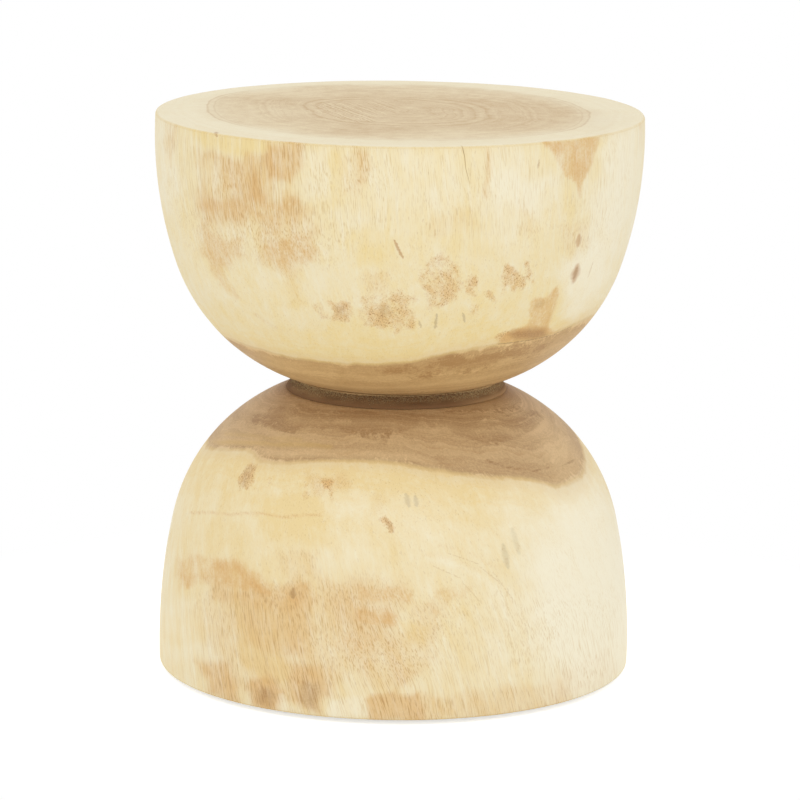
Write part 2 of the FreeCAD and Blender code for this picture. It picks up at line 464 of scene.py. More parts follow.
def woodMaterial(name, values):
    material, tree = newMaterial(name)
    given = {label: srgb(value) if label in woodColours else value for label, value in values.items()}
    given["Place"] = objectPlace(tree)
    for layer in woodLayers:
        given[layer] = addNode(tree, "ShaderNodeAttribute", attribute_name="wood" + layer).outputs["Fac"]
    wood = placeGroup(tree, figuredWood, given)
    showSurface(tree, wood["Colour"], wood["Roughness"], wood["Height"], woodRelief, woodShine)
    return material


# Turned outlines, as points of radius and height
def arcPoints(start, heading, end, count):
    chord = end - start
    across = (chord - heading * chord.dot(heading)).normalized()
    halfTurn = chord.angle(heading)
    radius = chord.length / (2 * math.sin(halfTurn))
    turns = [2 * halfTurn * i / count for i in range(1, count + 1)]
    points = [start + (heading * math.sin(t) + across * (1 - math.cos(t))) * radius for t in turns]
    return points, heading * math.cos(2 * halfTurn) + across * math.sin(2 * halfTurn)


def roundCorner(corner, fromSide, toSide, radius, count):
    reach = radius / math.tan(fromSide.angle(toSide) / 2)
    start = corner + fromSide * reach
    points, _ = arcPoints(start, -fromSide, corner + toSide * reach, count)
    return [start] + points


def lineTo(points, end, count):
    start = points[-1]
    return points + [start.lerp(end, i / count) for i in range(1, count + 1)]


turnedHalves = {
    "around": 560,
    "flatRings": 18,
    "outerFlat": 0.9,  # share of the radius where the flat's rings get closer
    "outerRings": 8,
    "edgeRings": 7,
    "wallRings": 52,
    "bellyRings": 62,
    "neckRings": 8,
    "socketRings": 4,
    "socketRadius": 30.15 * mm,
    "socketDepth": 55 * mm,
    "sharpAngle": 40,
}
bowl = {
    "node": "upper_bowl",
    "axisX": 0.0,
    "edgeRadius": 196.7 * mm,
    "edgeRound": 2.5 * mm,
    "edgeLean": 3.1,
    "shoulderRadius": 180.7 * mm,
    "shoulderAway": 120.4 * mm,
    "neckRadius": 85.5 * mm,
}
dome = {
    "node": "lower_dome",
    "axisX": -0.8 * mm,
    "edgeRadius": 192.7 * mm,
    "edgeRound": 2.0 * mm,
    "edgeLean": 1.9,
    "shoulderRadius": 181.8 * mm,
    "shoulderAway": 120.8 * mm,
    "neckRadius": 90.7 * mm,
}


def halfOutline(values, edgeHeight, neckHeight):
    away = 1 if neckHeight > edgeHeight else -1
    counts = turnedHalves
    lean = math.radians(values["edgeLean"])
    heading = Vector((math.sin(lean), away * math.cos(lean)))
    corner = Vector((values["edgeRadius"], edgeHeight))
    shoulder = Vector((values["shoulderRadius"], edgeHeight + away * values["shoulderAway"]))
    neck = Vector((values["neckRadius"], neckHeight))
    wall, leaving = arcPoints(corner, heading, shoulder, counts["wallRings"])
    belly, _ = arcPoints(shoulder, leaving, neck, counts["bellyRings"])
    edge = roundCorner(corner, Vector((-1, 0)), heading, values["edgeRound"], counts["edgeRings"])
    points = [Vector((0, edgeHeight))]
    points = lineTo(points, Vector((counts["outerFlat"] * corner.x, edgeHeight)), counts["flatRings"])
    points = lineTo(points, edge[0], counts["outerRings"])
    points += edge[1:]
    points += [p for p in wall if (p - corner).length > 2 * values["edgeRound"]]
    points += belly
    points = lineTo(points, Vector((counts["socketRadius"], neckHeight)), counts["neckRings"])
    socketEnd = neckHeight - away * counts["socketDepth"]
    points = lineTo(points, Vector((counts["socketRadius"], socketEnd)), counts["socketRings"])
    points = lineTo(points, Vector((0, socketEnd)), 2)
    return points if away > 0 else points[::-1]  # the outer wall always runs upwards


# Geometry nodes: trees are built here, and each result is turned into a plain mesh
weldDistance = 0.002 * mm
waveDetail = {"turned": 2.0, "crumbly": 3.0}


def newShapeTree(name, inputs):
    sockets = {"Geometry": "Geometry", **inputs, "Finish": "Material"}
    return newGroup(name, sockets, {"Geometry": "Geometry"}, "GeometryNodeTree")


def finishShape(tree, shape, finish, leaving):
    realized = addNode(tree, "GeometryNodeRealizeInstances", {0: shape})
    colouring = {"Geometry": realized.outputs[0], "Material": finish}
    coloured = addNode(tree, "GeometryNodeSetMaterial", colouring)
    feed(tree, leaving["Geometry"], coloured.outputs[0])


def moveShape(tree, shape, label, value):
    return addNode(tree, "GeometryNodeSetPosition", {"Geometry": shape, label: value}).outputs[0]


def sinkSurface(tree, shape, depth):
    normal = addNode(tree, "GeometryNodeInputNormal").outputs[0]
    return moveShape(tree, shape, "Offset", scaled(tree, normal, times(tree, depth, -1.0)))


def surfaceWaves(tree, waveLength, seed, detail):
    place = addNode(tree, "GeometryNodeInputPosition").outputs[0]
    given = {"Vector": place, "W": seed, "Scale": calc(tree, "DIVIDE", 1.0, waveLength), "Detail": detail}
    return addNode(tree, "ShaderNodeTexNoise", given, noise_dimensions="4D").outputs[0]


def turnedFormTree():
    inputs = {"Around": "Int", "Centre": "Vector", "Depth": "Float", "Wave": "Float", "Seed": "Int"}
    tree, given, leaving = newShapeTree("turnedForm", inputs)
    size = addNode(tree, "GeometryNodeAttributeDomainSize", {0: given["Geometry"]})
    count = size.outputs["Point Count"]
    lines = calc(tree, "ADD", given["Around"], 1.0)
    grid = addNode(tree, "GeometryNodeMeshGrid", {"Vertices X": lines, "Vertices Y": count})
    index = addNode(tree, "GeometryNodeInputIndex").outputs[0]
    position = addNode(tree, "GeometryNodeInputPosition").outputs[0]
    onLine = calc(tree, "MODULO", index, count)
    onOutline = {"Geometry": given["Geometry"], "Value": position, "Index": onLine}
    sampled = addNode(tree, "GeometryNodeSampleIndex", onOutline, data_type="FLOAT_VECTOR")
    radius, axisX, height = splitVector(tree, sampled.outputs[0])
    line = calc(tree, "FLOOR", calc(tree, "DIVIDE", calc(tree, "ADD", index, 0.5), count))
    turn = calc(tree, "DIVIDE", times(tree, line, math.tau), given["Around"])
    sideways = calc(tree, "MULTIPLY_ADD", radius, calc(tree, "SINE", turn), axisX)
    backwards = times(tree, radius, -1.0, calc(tree, "COSINE", turn))
    place = addNode(tree, "ShaderNodeCombineXYZ", {"X": sideways, "Y": backwards, "Z": height})
    place = vectorCalc(tree, "ADD", place.outputs[0], given["Centre"])
    turned = moveShape(tree, grid.outputs["Mesh"], "Position", place)
    closed = addNode(tree, "GeometryNodeMergeByDistance", {"Geometry": turned, "Distance": weldDistance})
    waves = surfaceWaves(tree, given["Wave"], given["Seed"], waveDetail["turned"])
    sanded = sinkSurface(tree, closed.outputs[0], times(tree, waves, given["Depth"]))
    finishShape(tree, sanded, given["Finish"], leaving)
    return tree


turnedForm = turnedFormTree()


def shapeByNodes(piece, tree, values):
    modifier = piece.modifiers.new(tree.name, "NODES")
    modifier.node_group = tree
    for item in tree.interface.items_tree:
        if item.in_out == "INPUT" and item.name in values:
            modifier[item.identifier] = values[item.name]
    depsgraph = bpy.context.evaluated_depsgraph_get()
    evaluated = piece.evaluated_get(depsgraph)
    shaped = bpy.data.meshes.new_from_object(evaluated, preserve_all_data_layers=True, depsgraph=depsgraph)
    piece.modifiers.clear()
    piece.data = shaped


def turnedPiece(name, outline, axisAt, values):
    mesh = bpy.data.meshes.new(name)
    points = [(radius, axisAt(height), height) for radius, height in outline]
    mesh.from_pydata(points, [(i, i + 1) for i in range(len(points) - 1)], [])
    piece = bpy.data.objects.new(name, mesh)
    scene.collection.objects.link(piece)
    shapeByNodes(piece, turnedForm, values)
    return piece


def finishPiece(piece, node, sharpAngle):
    piece.data.shade_smooth()
    piece.data.set_sharp_from_angle(angle=math.radians(sharpAngle))
    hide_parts(node)
    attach(piece, "root")
    print(piece.name, len(piece.data.polygons), "faces")


# Marks on the wood, by layer, each with an amount and a softness. Patches and strokes are drawn over the
# photograph's pixels, spots are ovals of half sizes in millimetres about a pixel, and far spots are ovals
# at a turn in degrees and a height in millimetres.
def patch(amount, soft, *corners):
    return {"amount": amount, "soft": soft, "corners": corners, "width": None}


def stroke(amount, soft, width, *corners):
    return {"amount": amount, "soft": soft, "corners": corners, "width": width}


def spot(amount, soft, half, pixel, tilt=0):
    return {"amount": amount, "soft": soft, "half": half, "pixel": pixel, "tilt": tilt}


def farSpot(amount, soft, half, turn, height, tilt=0):
    return {"amount": amount, "soft": soft, "half": half, "around": (turn, height), "tilt": tilt}


bowlMarks = {}
bowlMarks["Yellow"] = [
    patch(0.6, 9, (188, 129), (215, 133), (245, 138), (276, 141), (275, 150), (262, 153), (246, 156),
          (232, 154), (218, 150), (205, 147), (196, 139)),
    patch(0.6, 14, (286, 270), (303, 272), (302, 308), (288, 308)),
    patch(0.35, 10, (538, 142), (546, 143), (562, 178), (552, 174)),
    patch(0.5, 12, (328, 148), (346, 148), (344, 204), (330, 208)),
    patch(0.5, 20, (352, 232), (388, 226), (402, 256), (360, 264)),
    patch(0.4, 18, (322, 322), (420, 298), (428, 340), (350, 352)),
    patch(0.7, 10, (596, 142), (604, 142), (604, 176), (592, 182)),
    patch(0.3, 24, (430, 212), (490, 214), (570, 190), (560, 262), (430, 250)),
    farSpot(0.6, 1.4, (80, 40), 210, 330),
    farSpot(0.6, 1.3, (70, 30), 140, 350),
]
bowlMarks["Pale"] = [
    patch(0.15, 24, (164, 205), (190, 225), (210, 262), (222, 290), (200, 285), (176, 250)),
    # This patch and the next are painted light: paler along the bowl's left and right edges
    patch(0.6, 30, (150, 120), (168, 125), (176, 200), (170, 210), (155, 190)),
    patch(0.8, 36, (606, 128), (650, 120), (640, 215), (600, 300), (580, 250)),
    patch(0.1, 40, (310, 150), (460, 152), (470, 240), (420, 250), (330, 230)),
    patch(0.36, 40, (480, 150), (540, 150), (556, 200), (540, 250), (500, 250), (480, 200)),
    patch(0.2, 12, (304, 150), (326, 150), (326, 196), (306, 200)),
    patch(0.2, 24, (398, 150), (462, 150), (460, 214), (404, 214)),
    patch(0.5, 18, (494, 172), (546, 182), (540, 214), (498, 204)),
    patch(0.7, 18, (562, 258), (606, 246), (606, 300), (590, 316), (564, 318)),
    patch(0.45, 14, (246, 346), (300, 362), (336, 368), (336, 388), (290, 380)),
    # These far spots are painted light: paler on the bowl's right and left sides
    farSpot(0.7, 1.2, (70, 90), 98, 390),
    farSpot(0.4, 1.4, (70, 60), 255, 400),
]
bowlMarks["Fibrous"] = [
    patch(1.0, 30, (150, 115), (400, 145), (390, 230), (330, 260), (200, 250), (165, 200)),
    patch(0.5, 40, (400, 145), (650, 130), (620, 240), (420, 250)),
    farSpot(0.8, 1.2, (150, 60), 180, 390),
]
bowlMarks["Stain"] = [
    patch(0.35, 8, (163, 122), (178, 124), (176, 152), (170, 168), (163, 150)),
    patch(0.34, 18, (194, 150), (214, 152), (220, 200), (206, 224), (198, 200)),
    patch(0.52, 18, (212, 154), (250, 156), (262, 200), (222, 190)),
    patch(0.45, 13, (249, 155), (272, 152), (276, 182), (268, 204), (250, 200)),
    patch(0.58, 14, (266, 140), (306, 142), (304, 160), (292, 184), (266, 176)),
    patch(0.4, 26, (196, 200), (225, 192), (262, 192), (296, 188), (306, 206), (300, 228), (262, 228),
          (232, 228), (200, 230)),
    patch(0.25, 14, (216, 198), (254, 198), (258, 216), (222, 220)),
    patch(0.3, 12, (256, 216), (280, 214), (282, 236), (258, 238)),
    patch(0.2, 14, (286, 208), (318, 206), (320, 236), (288, 238)),
    patch(0.24, 14, (336, 152), (366, 152), (366, 196), (340, 200)),
    patch(0.32, 11, (355, 148), (371, 148), (370, 184), (358, 186)),
    patch(0.3, 18, (196, 220), (210, 226), (227, 235), (247, 231), (248, 260), (226, 270), (200, 258)),
    patch(0.3, 18, (256, 236), (270, 233), (302, 231), (319, 229), (318, 258), (290, 272), (260, 266)),
    patch(0.12, 20, (250, 250), (320, 240), (334, 270), (264, 282)),
    patch(0.25, 14, (286, 270), (303, 272), (302, 308), (288, 308)),
    stroke(0.3, 5, 4, (255, 315), (265, 321), (277, 328)),
    stroke(0.5, 7, 6, (489, 150), (488, 175), (486, 197)),
    patch(0.24, 18, (424, 214), (470, 208), (482, 230), (432, 240)),
    patch(0.26, 14, (514, 200), (534, 196), (538, 232), (520, 236)),
    patch(0.28, 12, (560, 226), (590, 220), (594, 250), (566, 262)),
    patch(0.28, 12, (362, 272), (388, 268), (392, 292), (366, 297)),
    farSpot(0.5, 1.3, (40, 52), 122, 400),
    farSpot(0.4, 1.1, (22, 26), 134, 372),
    farSpot(0.4, 1.3, (30, 20), 160, 345, 10),
    farSpot(0.45, 1.3, (60, 34), 205, 420),
    farSpot(0.35, 1.2, (20, 44), 216, 400),
    farSpot(0.4, 1.3, (26, 34), 243, 380),
]
bowlMarks["Lobe"] = [
    patch(0.42, 8, (205, 255), (215, 258), (232, 282), (241, 299), (236, 301), (220, 286), (209, 270)),
    patch(0.34, 12, (198, 204), (226, 197), (262, 202), (300, 196), (304, 208), (270, 214), (232, 212),
          (204, 216)),
    patch(0.45, 14, (200, 230), (226, 236), (244, 240), (242, 256), (222, 266), (204, 256)),
    patch(0.46, 14, (262, 240), (284, 236), (312, 234), (322, 246), (312, 262), (286, 268), (266, 258)),
    patch(0.52, 4, (543, 141), (553, 143), (580, 138), (599, 137), (598, 150), (593, 163), (587, 173),
          (583, 183), (582, 198), (579, 198), (577, 185), (571, 180), (564, 177), (559, 168), (555, 157)),
    patch(0.4, 5, (537, 139), (560, 141), (566, 152), (551, 152)),
    patch(0.25, 9, (566, 141), (598, 137), (594, 155), (584, 178), (574, 172), (568, 158)),
    patch(0.6, 4, (638, 122), (648, 122), (646, 150), (640, 152)),
    patch(0.58, 4, (530, 301), (536, 297), (546, 297), (557, 286), (560, 294), (556, 306), (552, 315),
          (550, 326), (557, 333), (535, 341), (515, 344), (496, 347), (500, 337), (511, 330), (526, 325),
          (530, 318), (527, 311), (529, 307)),
    patch(0.8, 6, (499, 339), (518, 330), (535, 327), (548, 327), (552, 334), (535, 340), (515, 343),
          (503, 344)),
    farSpot(0.5, 0.6, (13, 30), 184, 440),
]
bowlMarks["Smudge"] = [
    patch(0.7, 8, (510, 335), (528, 328), (546, 329), (548, 336), (532, 339), (516, 341)),
    patch(0.22, 6, (534, 304), (541, 301), (547, 303), (541, 308), (535, 308)),
    patch(0.3, 7, (335, 307), (343, 306), (344, 316), (336, 316)),
    patch(0.3, 7, (379, 306), (389, 306), (389, 316), (380, 316)),
    patch(0.12, 5, (588, 109), (612, 110), (634, 117), (630, 126), (604, 124)),
    patch(0.22, 10, (578, 119), (606, 115), (613, 123), (604, 135), (586, 135)),
]
bowlMarks["Speckle"] = [
    patch(1.0, 5, (494, 337), (503, 330), (512, 331), (514, 340), (500, 343)),
    patch(0.74, 12, (419, 267), (430, 255), (442, 253), (453, 261), (461, 277), (464, 290), (458, 300),
          (447, 306), (430, 311), (424, 297), (418, 280)),
    patch(0.7, 9, (424, 286), (454, 282), (458, 300), (442, 309), (427, 307)),
    patch(0.5, 8, (392, 296), (412, 296), (416, 330), (396, 332)),
    patch(0.95, 8, (465, 277), (476, 274), (481, 285), (476, 295), (467, 293)),
    patch(1.0, 8, (503, 277), (506, 264), (515, 268), (526, 280), (525, 288), (515, 293), (505, 287)),
    stroke(0.8, 5, 6, (526, 263), (531, 281)),
    patch(0.85, 6, (484, 289), (491, 288), (497, 300), (493, 305), (486, 298)),
    patch(0.55, 8, (465, 303), (481, 302), (479, 315), (467, 315)),
    patch(0.95, 9, (329, 300), (348, 301), (353, 314), (347, 324), (331, 321)),
    patch(1.0, 9, (368, 306), (386, 303), (392, 316), (386, 329), (370, 327)),
    patch(0.55, 14, (352, 294), (398, 288), (418, 296), (416, 330), (396, 332), (360, 324)),
    patch(0.55, 6, (494, 280), (506, 274), (509, 296), (498, 298)),
    patch(0.5, 8, (310, 300), (328, 302), (330, 318), (316, 320)),
    farSpot(0.8, 0.9, (20, 18), 138, 330),
    farSpot(0.7, 0.9, (14, 16), 196, 335),
    farSpot(0.8, 0.9, (18, 14), 230, 325),
]
bowlMarks["Deep"] = [
    patch(0.66, 12, (440, 359), (490, 350), (540, 341), (560, 338), (548, 352), (500, 364), (450, 368)),
    patch(0.6, 14, (378, 368), (430, 360), (500, 356), (500, 370), (450, 378), (385, 379)),
    spot(0.8, 0.5, (118, 118), (434, 112)),
    patch(0.8, 8, (556, 112), (576, 107), (583, 113), (572, 121), (545, 126), (528, 127), (548, 120)),
]
# A thin line along the rim's front edge: a painted highlight, together with wear
bowlMarks["RimWearAndHighlight"] = [
    stroke(0.9, 3, 3, (196, 127), (230, 133), (262, 137), (300, 140), (350, 142), (400, 143), (450, 143),
           (500, 141), (540, 138), (570, 135), (598, 130), (612, 126)),
]
bowlMarks["Saw"] = [
    spot(1.0, 0.8, (32, 46), (356, 110)),
]
domeMarks = {}
domeMarks["Yellow"] = [
    patch(0.9, 14, (240, 626), (272, 630), (290, 676), (262, 686), (240, 660)),
    patch(0.8, 12, (404, 624), (428, 624), (428, 643), (406, 643)),
    patch(0.25, 40, (140, 500), (230, 480), (300, 520), (330, 600), (250, 640), (165, 600)),
    patch(0.12, 30, (330, 500), (400, 500), (400, 560), (340, 560)),
    patch(0.5, 16, (158, 612), (206, 614), (206, 642), (160, 642)),
    patch(0.5, 18, (236, 600), (296, 602), (304, 642), (240, 640)),
    patch(0.08, 24, (420, 492), (480, 488), (560, 500), (540, 518), (440, 520)),
    patch(0.8, 18, (260, 498), (325, 500), (332, 545), (264, 540)),
    patch(0.2, 14, (165, 520), (250, 519), (262, 546), (170, 550)),
    stroke(0.9, 4, 4, (208, 441), (250, 443), (330, 446)),
    stroke(0.6, 4, 3, (225, 434), (262, 437), (300, 440)),
    farSpot(0.6, 1.4, (90, 40), 170, 130),
    farSpot(0.6, 1.4, (60, 40), 245, 120),
]
domeMarks["Pale"] = [
    patch(0.2, 16, (158, 598), (206, 600), (210, 622), (192, 638), (160, 636)),
    patch(0.15, 14, (165, 644), (218, 642), (222, 662), (170, 662)),
    # Painted light: paler along the dome's right edge
    patch(1.0, 60, (560, 500), (615, 475), (640, 640), (625, 690), (570, 700), (530, 640), (530, 560)),
    patch(0.45, 4, (278, 694), (284, 692), (291, 707), (299, 712), (275, 710)),
    patch(0.45, 4, (325, 711), (332, 700), (348, 697), (364, 697), (368, 716), (330, 720)),
    patch(0.2, 24, (484, 590), (530, 590), (530, 680), (484, 680)),
    patch(0.3, 24, (490, 486), (610, 466), (612, 530), (500, 540)),
    stroke(0.4, 8, 4, (430, 558), (462, 568), (486, 580), (502, 600), (512, 630)),
    patch(0.15, 12, (318, 492), (370, 491), (369, 512), (320, 513)),
    patch(0.15, 20, (388, 493), (452, 489), (456, 540), (398, 544)),
    patch(0.1, 12, (320, 549), (362, 547), (364, 563), (322, 565)),
    patch(0.6, 14, (192, 410), (226, 412), (228, 442), (196, 446)),
    patch(0.62, 30, (540, 415), (575, 440), (592, 458), (585, 478), (560, 478), (540, 450)),
    patch(0.5, 12, (205, 436), (260, 438), (262, 448), (206, 447)),
    patch(0.6, 5, (250, 445), (262, 449), (330, 449), (400, 452), (435, 458), (440, 466), (400, 460),
          (330, 457), (262, 457)),
    # These far spots are painted light: paler on the dome's right and left sides
    farSpot(1.0, 1.0, (100, 84), 92, 70),
    farSpot(0.4, 1.3, (50, 30), 262, 70),
]
domeMarks["Fibrous"] = [
    patch(1.0, 30, (190, 596), (420, 600), (430, 720), (320, 720), (190, 690)),
    patch(0.7, 30, (430, 590), (630, 600), (630, 690), (430, 720)),
    farSpot(0.9, 1.2, (160, 50), 180, 60),
]
domeMarks["Lobe"] = [
    patch(0.46, 15, (176, 556), (205, 555), (241, 561), (254, 574), (272, 590), (270, 596), (259, 593),
          (241, 587), (218, 580), (197, 577), (189, 587), (176, 587)),
    patch(0.34, 12, (212, 557), (238, 557), (262, 574), (271, 592), (264, 597), (244, 589), (214, 580)),
    patch(0.32, 7, (182, 575), (214, 575), (242, 580), (268, 588), (272, 596), (246, 591), (214, 586),
          (186, 588)),
    patch(0.5, 9, (356, 607), (392, 606), (396, 622), (372, 627), (354, 622)),
    patch(0.42, 9, (355, 586), (398, 585), (414, 592), (410, 603), (385, 603), (356, 600)),
    patch(0.28, 9, (336, 637), (382, 635), (376, 650), (352, 655), (332, 650)),
    patch(0.42, 7, (383, 613), (400, 613), (401, 628), (385, 627)),
    patch(0.3, 9, (432, 587), (472, 586), (468, 599), (434, 601)),
    patch(0.28, 9, (427, 601), (452, 599), (449, 620), (430, 619)),
    spot(0.35, 0.9, (11, 10), (298, 593)),
    farSpot(0.3, 1.1, (36, 12), 236, 108, 8),
]
domeMarks["Stain"] = [
    patch(0.3, 14, (276, 552), (318, 548), (322, 572), (284, 584)),
    patch(0.36, 40, (196, 598), (260, 592), (330, 586), (370, 588), (384, 612), (378, 650), (360, 676),
          (310, 690), (240, 684), (195, 640)),
    patch(0.5, 16, (198, 574), (250, 588), (300, 580), (318, 600), (290, 612), (250, 608), (212, 598)),
    patch(0.32, 24, (308, 576), (402, 574), (414, 600), (396, 640), (412, 690), (366, 692), (350, 640)),
    patch(0.34, 14, (284, 604), (308, 604), (312, 656), (288, 656)),
    patch(0.2, 16, (242, 610), (284, 612), (284, 650), (246, 646)),
    patch(0.15, 14, (224, 614), (276, 612), (304, 636), (300, 656), (250, 650)),
    patch(0.2, 10, (318, 668), (336, 666), (338, 696), (322, 698)),
    patch(0.3, 14, (416, 602), (440, 600), (440, 660), (396, 690), (386, 640), (410, 630)),
    patch(0.62, 14, (196, 662), (224, 660), (240, 684), (242, 704), (210, 698)),
    patch(0.74, 12, (246, 684), (267, 674), (285, 690), (280, 712), (254, 709)),
    patch(0.56, 14, (290, 668), (317, 664), (329, 694), (320, 714), (301, 713), (288, 697)),
    patch(0.62, 8, (364, 700), (376, 694), (392, 691), (406, 696), (420, 693), (424, 722), (368, 722)),
    patch(0.4, 14, (415, 696), (434, 692), (460, 698), (462, 722), (415, 722)),
    patch(0.38, 18, (462, 692), (500, 686), (572, 678), (574, 712), (520, 722), (462, 722)),
    stroke(0.26, 6, 3, (425, 553), (462, 562), (487, 572), (507, 592), (522, 622), (530, 656)),
    stroke(0.3, 6, 3, (440, 546), (474, 554), (498, 568)),
    patch(0.04, 40, (400, 575), (478, 588), (492, 650), (476, 700), (400, 700)),
    patch(0.4, 18, (556, 668), (612, 648), (622, 676), (560, 706)),
    stroke(0.5, 4, 3, (190, 512), (225, 514), (250, 513), (285, 516), (322, 515)),
    patch(0.4, 14, (304, 474), (350, 473), (350, 490), (310, 495)),
    patch(0.22, 9, (373, 492), (384, 492), (385, 516), (373, 516)),
    farSpot(0.4, 1.3, (60, 34), 128, 60),
    farSpot(0.45, 1.2, (44, 16), 160, 92, 20),
    farSpot(0.45, 1.3, (76, 40), 204, 55),
    farSpot(0.4, 1.2, (30, 18), 190, 74),
    farSpot(0.55, 1.0, (20, 18), 148, 14),
    farSpot(0.55, 1.0, (30, 14), 224, 12),
]
domeMarks["Smudge"] = [
    patch(0.5, 9, (256, 692), (267, 688), (276, 694), (272, 707), (260, 703)),
    patch(0.4, 9, (301, 684), (318, 684), (320, 710), (302, 708)),
    patch(0.25, 5, (247, 467), (254, 467), (250, 480), (245, 488), (240, 487)),
    patch(0.12, 12, (240, 396), (290, 390), (294, 410), (244, 416)),
]
domeMarks["Speckle"] = [
    patch(1.0, 7, (246, 466), (251, 463), (257, 465), (255, 480), (247, 493), (239, 491), (235, 482),
          (242, 475)),
    patch(0.5, 6, (266, 476), (276, 476), (275, 487), (266, 487)),
    patch(0.5, 4, (501, 545), (507, 543), (511, 566), (505, 569)),
    patch(0.4, 4, (510, 528), (516, 526), (522, 553), (516, 556)),
    patch(0.6, 6, (304, 480), (312, 490), (306, 502), (300, 496)),
    patch(1.0, 6, (320, 478), (335, 479), (333, 488), (331, 503), (328, 490), (323, 487)),
    patch(1.0, 5, (378, 519), (387, 515), (396, 530), (392, 534), (383, 526)),
    farSpot(0.9, 0.8, (8, 14), 140, 165),
    farSpot(0.9, 0.8, (7, 12), 212, 160),
]
domeMarks["Deep"] = [
    patch(0.5, 7, (258, 406), (292, 402), (340, 409), (400, 412), (460, 409), (505, 401), (522, 408),
          (470, 422), (400, 422), (330, 420), (276, 416)),
    patch(0.6, 7, (248, 414), (280, 408), (330, 410), (390, 414), (440, 414), (500, 412), (545, 404),
          (548, 420), (535, 432), (515, 440), (495, 447), (470, 440), (445, 432), (420, 428), (395, 436),
          (385, 446), (365, 440), (340, 432), (310, 428), (290, 436), (270, 428), (252, 424)),
    stroke(0.75, 3, 2.5, (487, 460), (505, 467), (535, 471), (560, 466), (577, 460)),
    stroke(0.7, 3, 2.5, (440, 422), (455, 426), (485, 426), (520, 421), (542, 410)),
    stroke(0.5, 3, 2.5, (215, 446), (255, 447), (300, 451)),
]


# Single marks are drawn between two pixels, or between two far places, with a width in millimetres
def dash(share, width, colour, start, end):
    return {"share": share, "width": width, "colour": colour, "ends": ({"pixel": start}, {"pixel": end})}


def farDash(share, width, colour, start, end):
    return {"share": share, "width": width, "colour": colour, "ends": ({"around": start}, {"around": end})}


bowlDashes = [
    dash(0.6, 2.2, (178, 124, 66), (394, 240), (403, 258)),
    dash(0.5, 6.6, (186, 132, 72), (579, 236), (578, 245)),
    dash(0.55, 10.0, (186, 134, 78), (577, 267), (574, 280)),
    dash(0.4, 4.4, (146, 96, 46), (577, 268), (574, 278)),
    dash(0.3, 1.6, (196, 160, 110), (593, 262), (588, 277)),
    dash(0.45, 2.2, (170, 148, 116), (437, 314), (435, 328)),
    dash(0.45, 2.0, (170, 148, 116), (463, 313), (465, 322)),
    dash(0.4, 2.0, (176, 150, 112), (419, 321), (421, 327)),
    dash(0.4, 1.4, (168, 126, 84), (539, 160), (538, 168)),
    dash(0.6, 3.0, (176, 130, 80), (216, 132), (217, 136)),
    dash(0.55, 1.3, (146, 108, 64), (498, 344), (516, 342)),
    dash(0.55, 1.3, (146, 108, 64), (514, 342), (536, 339)),
    dash(0.55, 1.3, (146, 108, 64), (534, 339), (556, 334)),
    dash(0.5, 1.3, (146, 108, 64), (554, 334), (572, 326)),
    farDash(0.55, 5.0, (172, 132, 88), (172, 396), (174, 382)),
    farDash(0.5, 2.4, (176, 130, 84), (128, 352), (126, 338)),
    farDash(0.5, 4.0, (178, 136, 90), (236, 372), (235, 360)),
]
domeDashes = [
    dash(0.45, 4.0, (194, 176, 142), (406, 494), (409, 506)),
    dash(0.45, 3.6, (194, 176, 142), (415, 496), (417, 506)),
    dash(0.42, 5.4, (198, 184, 148), (503, 545), (508, 567)),
    dash(0.3, 5.2, (204, 190, 152), (512, 529), (519, 553)),
    dash(0.4, 1.1, (206, 176, 126), (448, 553), (478, 564)),
    dash(0.4, 1.1, (206, 176, 126), (480, 567), (500, 583)),
    dash(0.4, 1.0, (206, 176, 126), (493, 572), (513, 600)),
    dash(0.35, 1.0, (208, 180, 130), (500, 590), (516, 626)),
    dash(0.35, 1.0, (208, 180, 130), (520, 604), (529, 640)),
    dash(0.4, 1.0, (206, 176, 126), (433, 566), (460, 578)),
    dash(0.35, 1.0, (208, 180, 130), (462, 582), (482, 604)),
    dash(0.35, 1.0, (208, 180, 130), (508, 630), (516, 662)),
    dash(0.6, 5.6, (170, 132, 82), (293, 590), (293, 597)),
    dash(0.4, 3.0, (186, 146, 98), (385, 518), (393, 532)),
    farDash(0.5, 3.2, (194, 176, 142), (180, 138), (181, 122)),
    farDash(0.55, 5.0, (170, 132, 82), (205, 88), (205, 84)),
]
dashWaver = {"size": 1.8 * mm, "reach": 2.2 * mm}
dashTaper = {"atEnds": 0.45, "bulge": 0.4, "core": 0.2}  # shares of its width


def dashGroup():
    inputs = {"Place": "Vector", "Start": "Vector", "End": "Vector", "Width": "Float"}
    tree, given, result = newGroup("taperedDash", inputs, {"Share": "Float"})
    toPlace = vectorCalc(tree, "SUBTRACT", given["Place"], given["Start"])
    toEnd = vectorCalc(tree, "SUBTRACT", given["End"], given["Start"])
    along = vectorCalc(tree, "DOT_PRODUCT", toPlace, toEnd)
    along = calc(tree, "DIVIDE", along, vectorCalc(tree, "DOT_PRODUCT", toEnd, toEnd), clamp=True)
    aside = vectorCalc(tree, "SUBTRACT", toPlace, scaled(tree, toEnd, along))
    bulge = calc(tree, "SINE", times(tree, along, math.pi))
    reach = weigh(tree, dashTaper["atEnds"], (bulge, dashTaper["bulge"]))
    reach = times(tree, given["Width"], reach)
    core = times(tree, reach, dashTaper["core"])
    feed(tree, result["Share"], step(tree, vectorCalc(tree, "LENGTH", aside), reach, core))
    return tree


taperedDash = dashGroup()


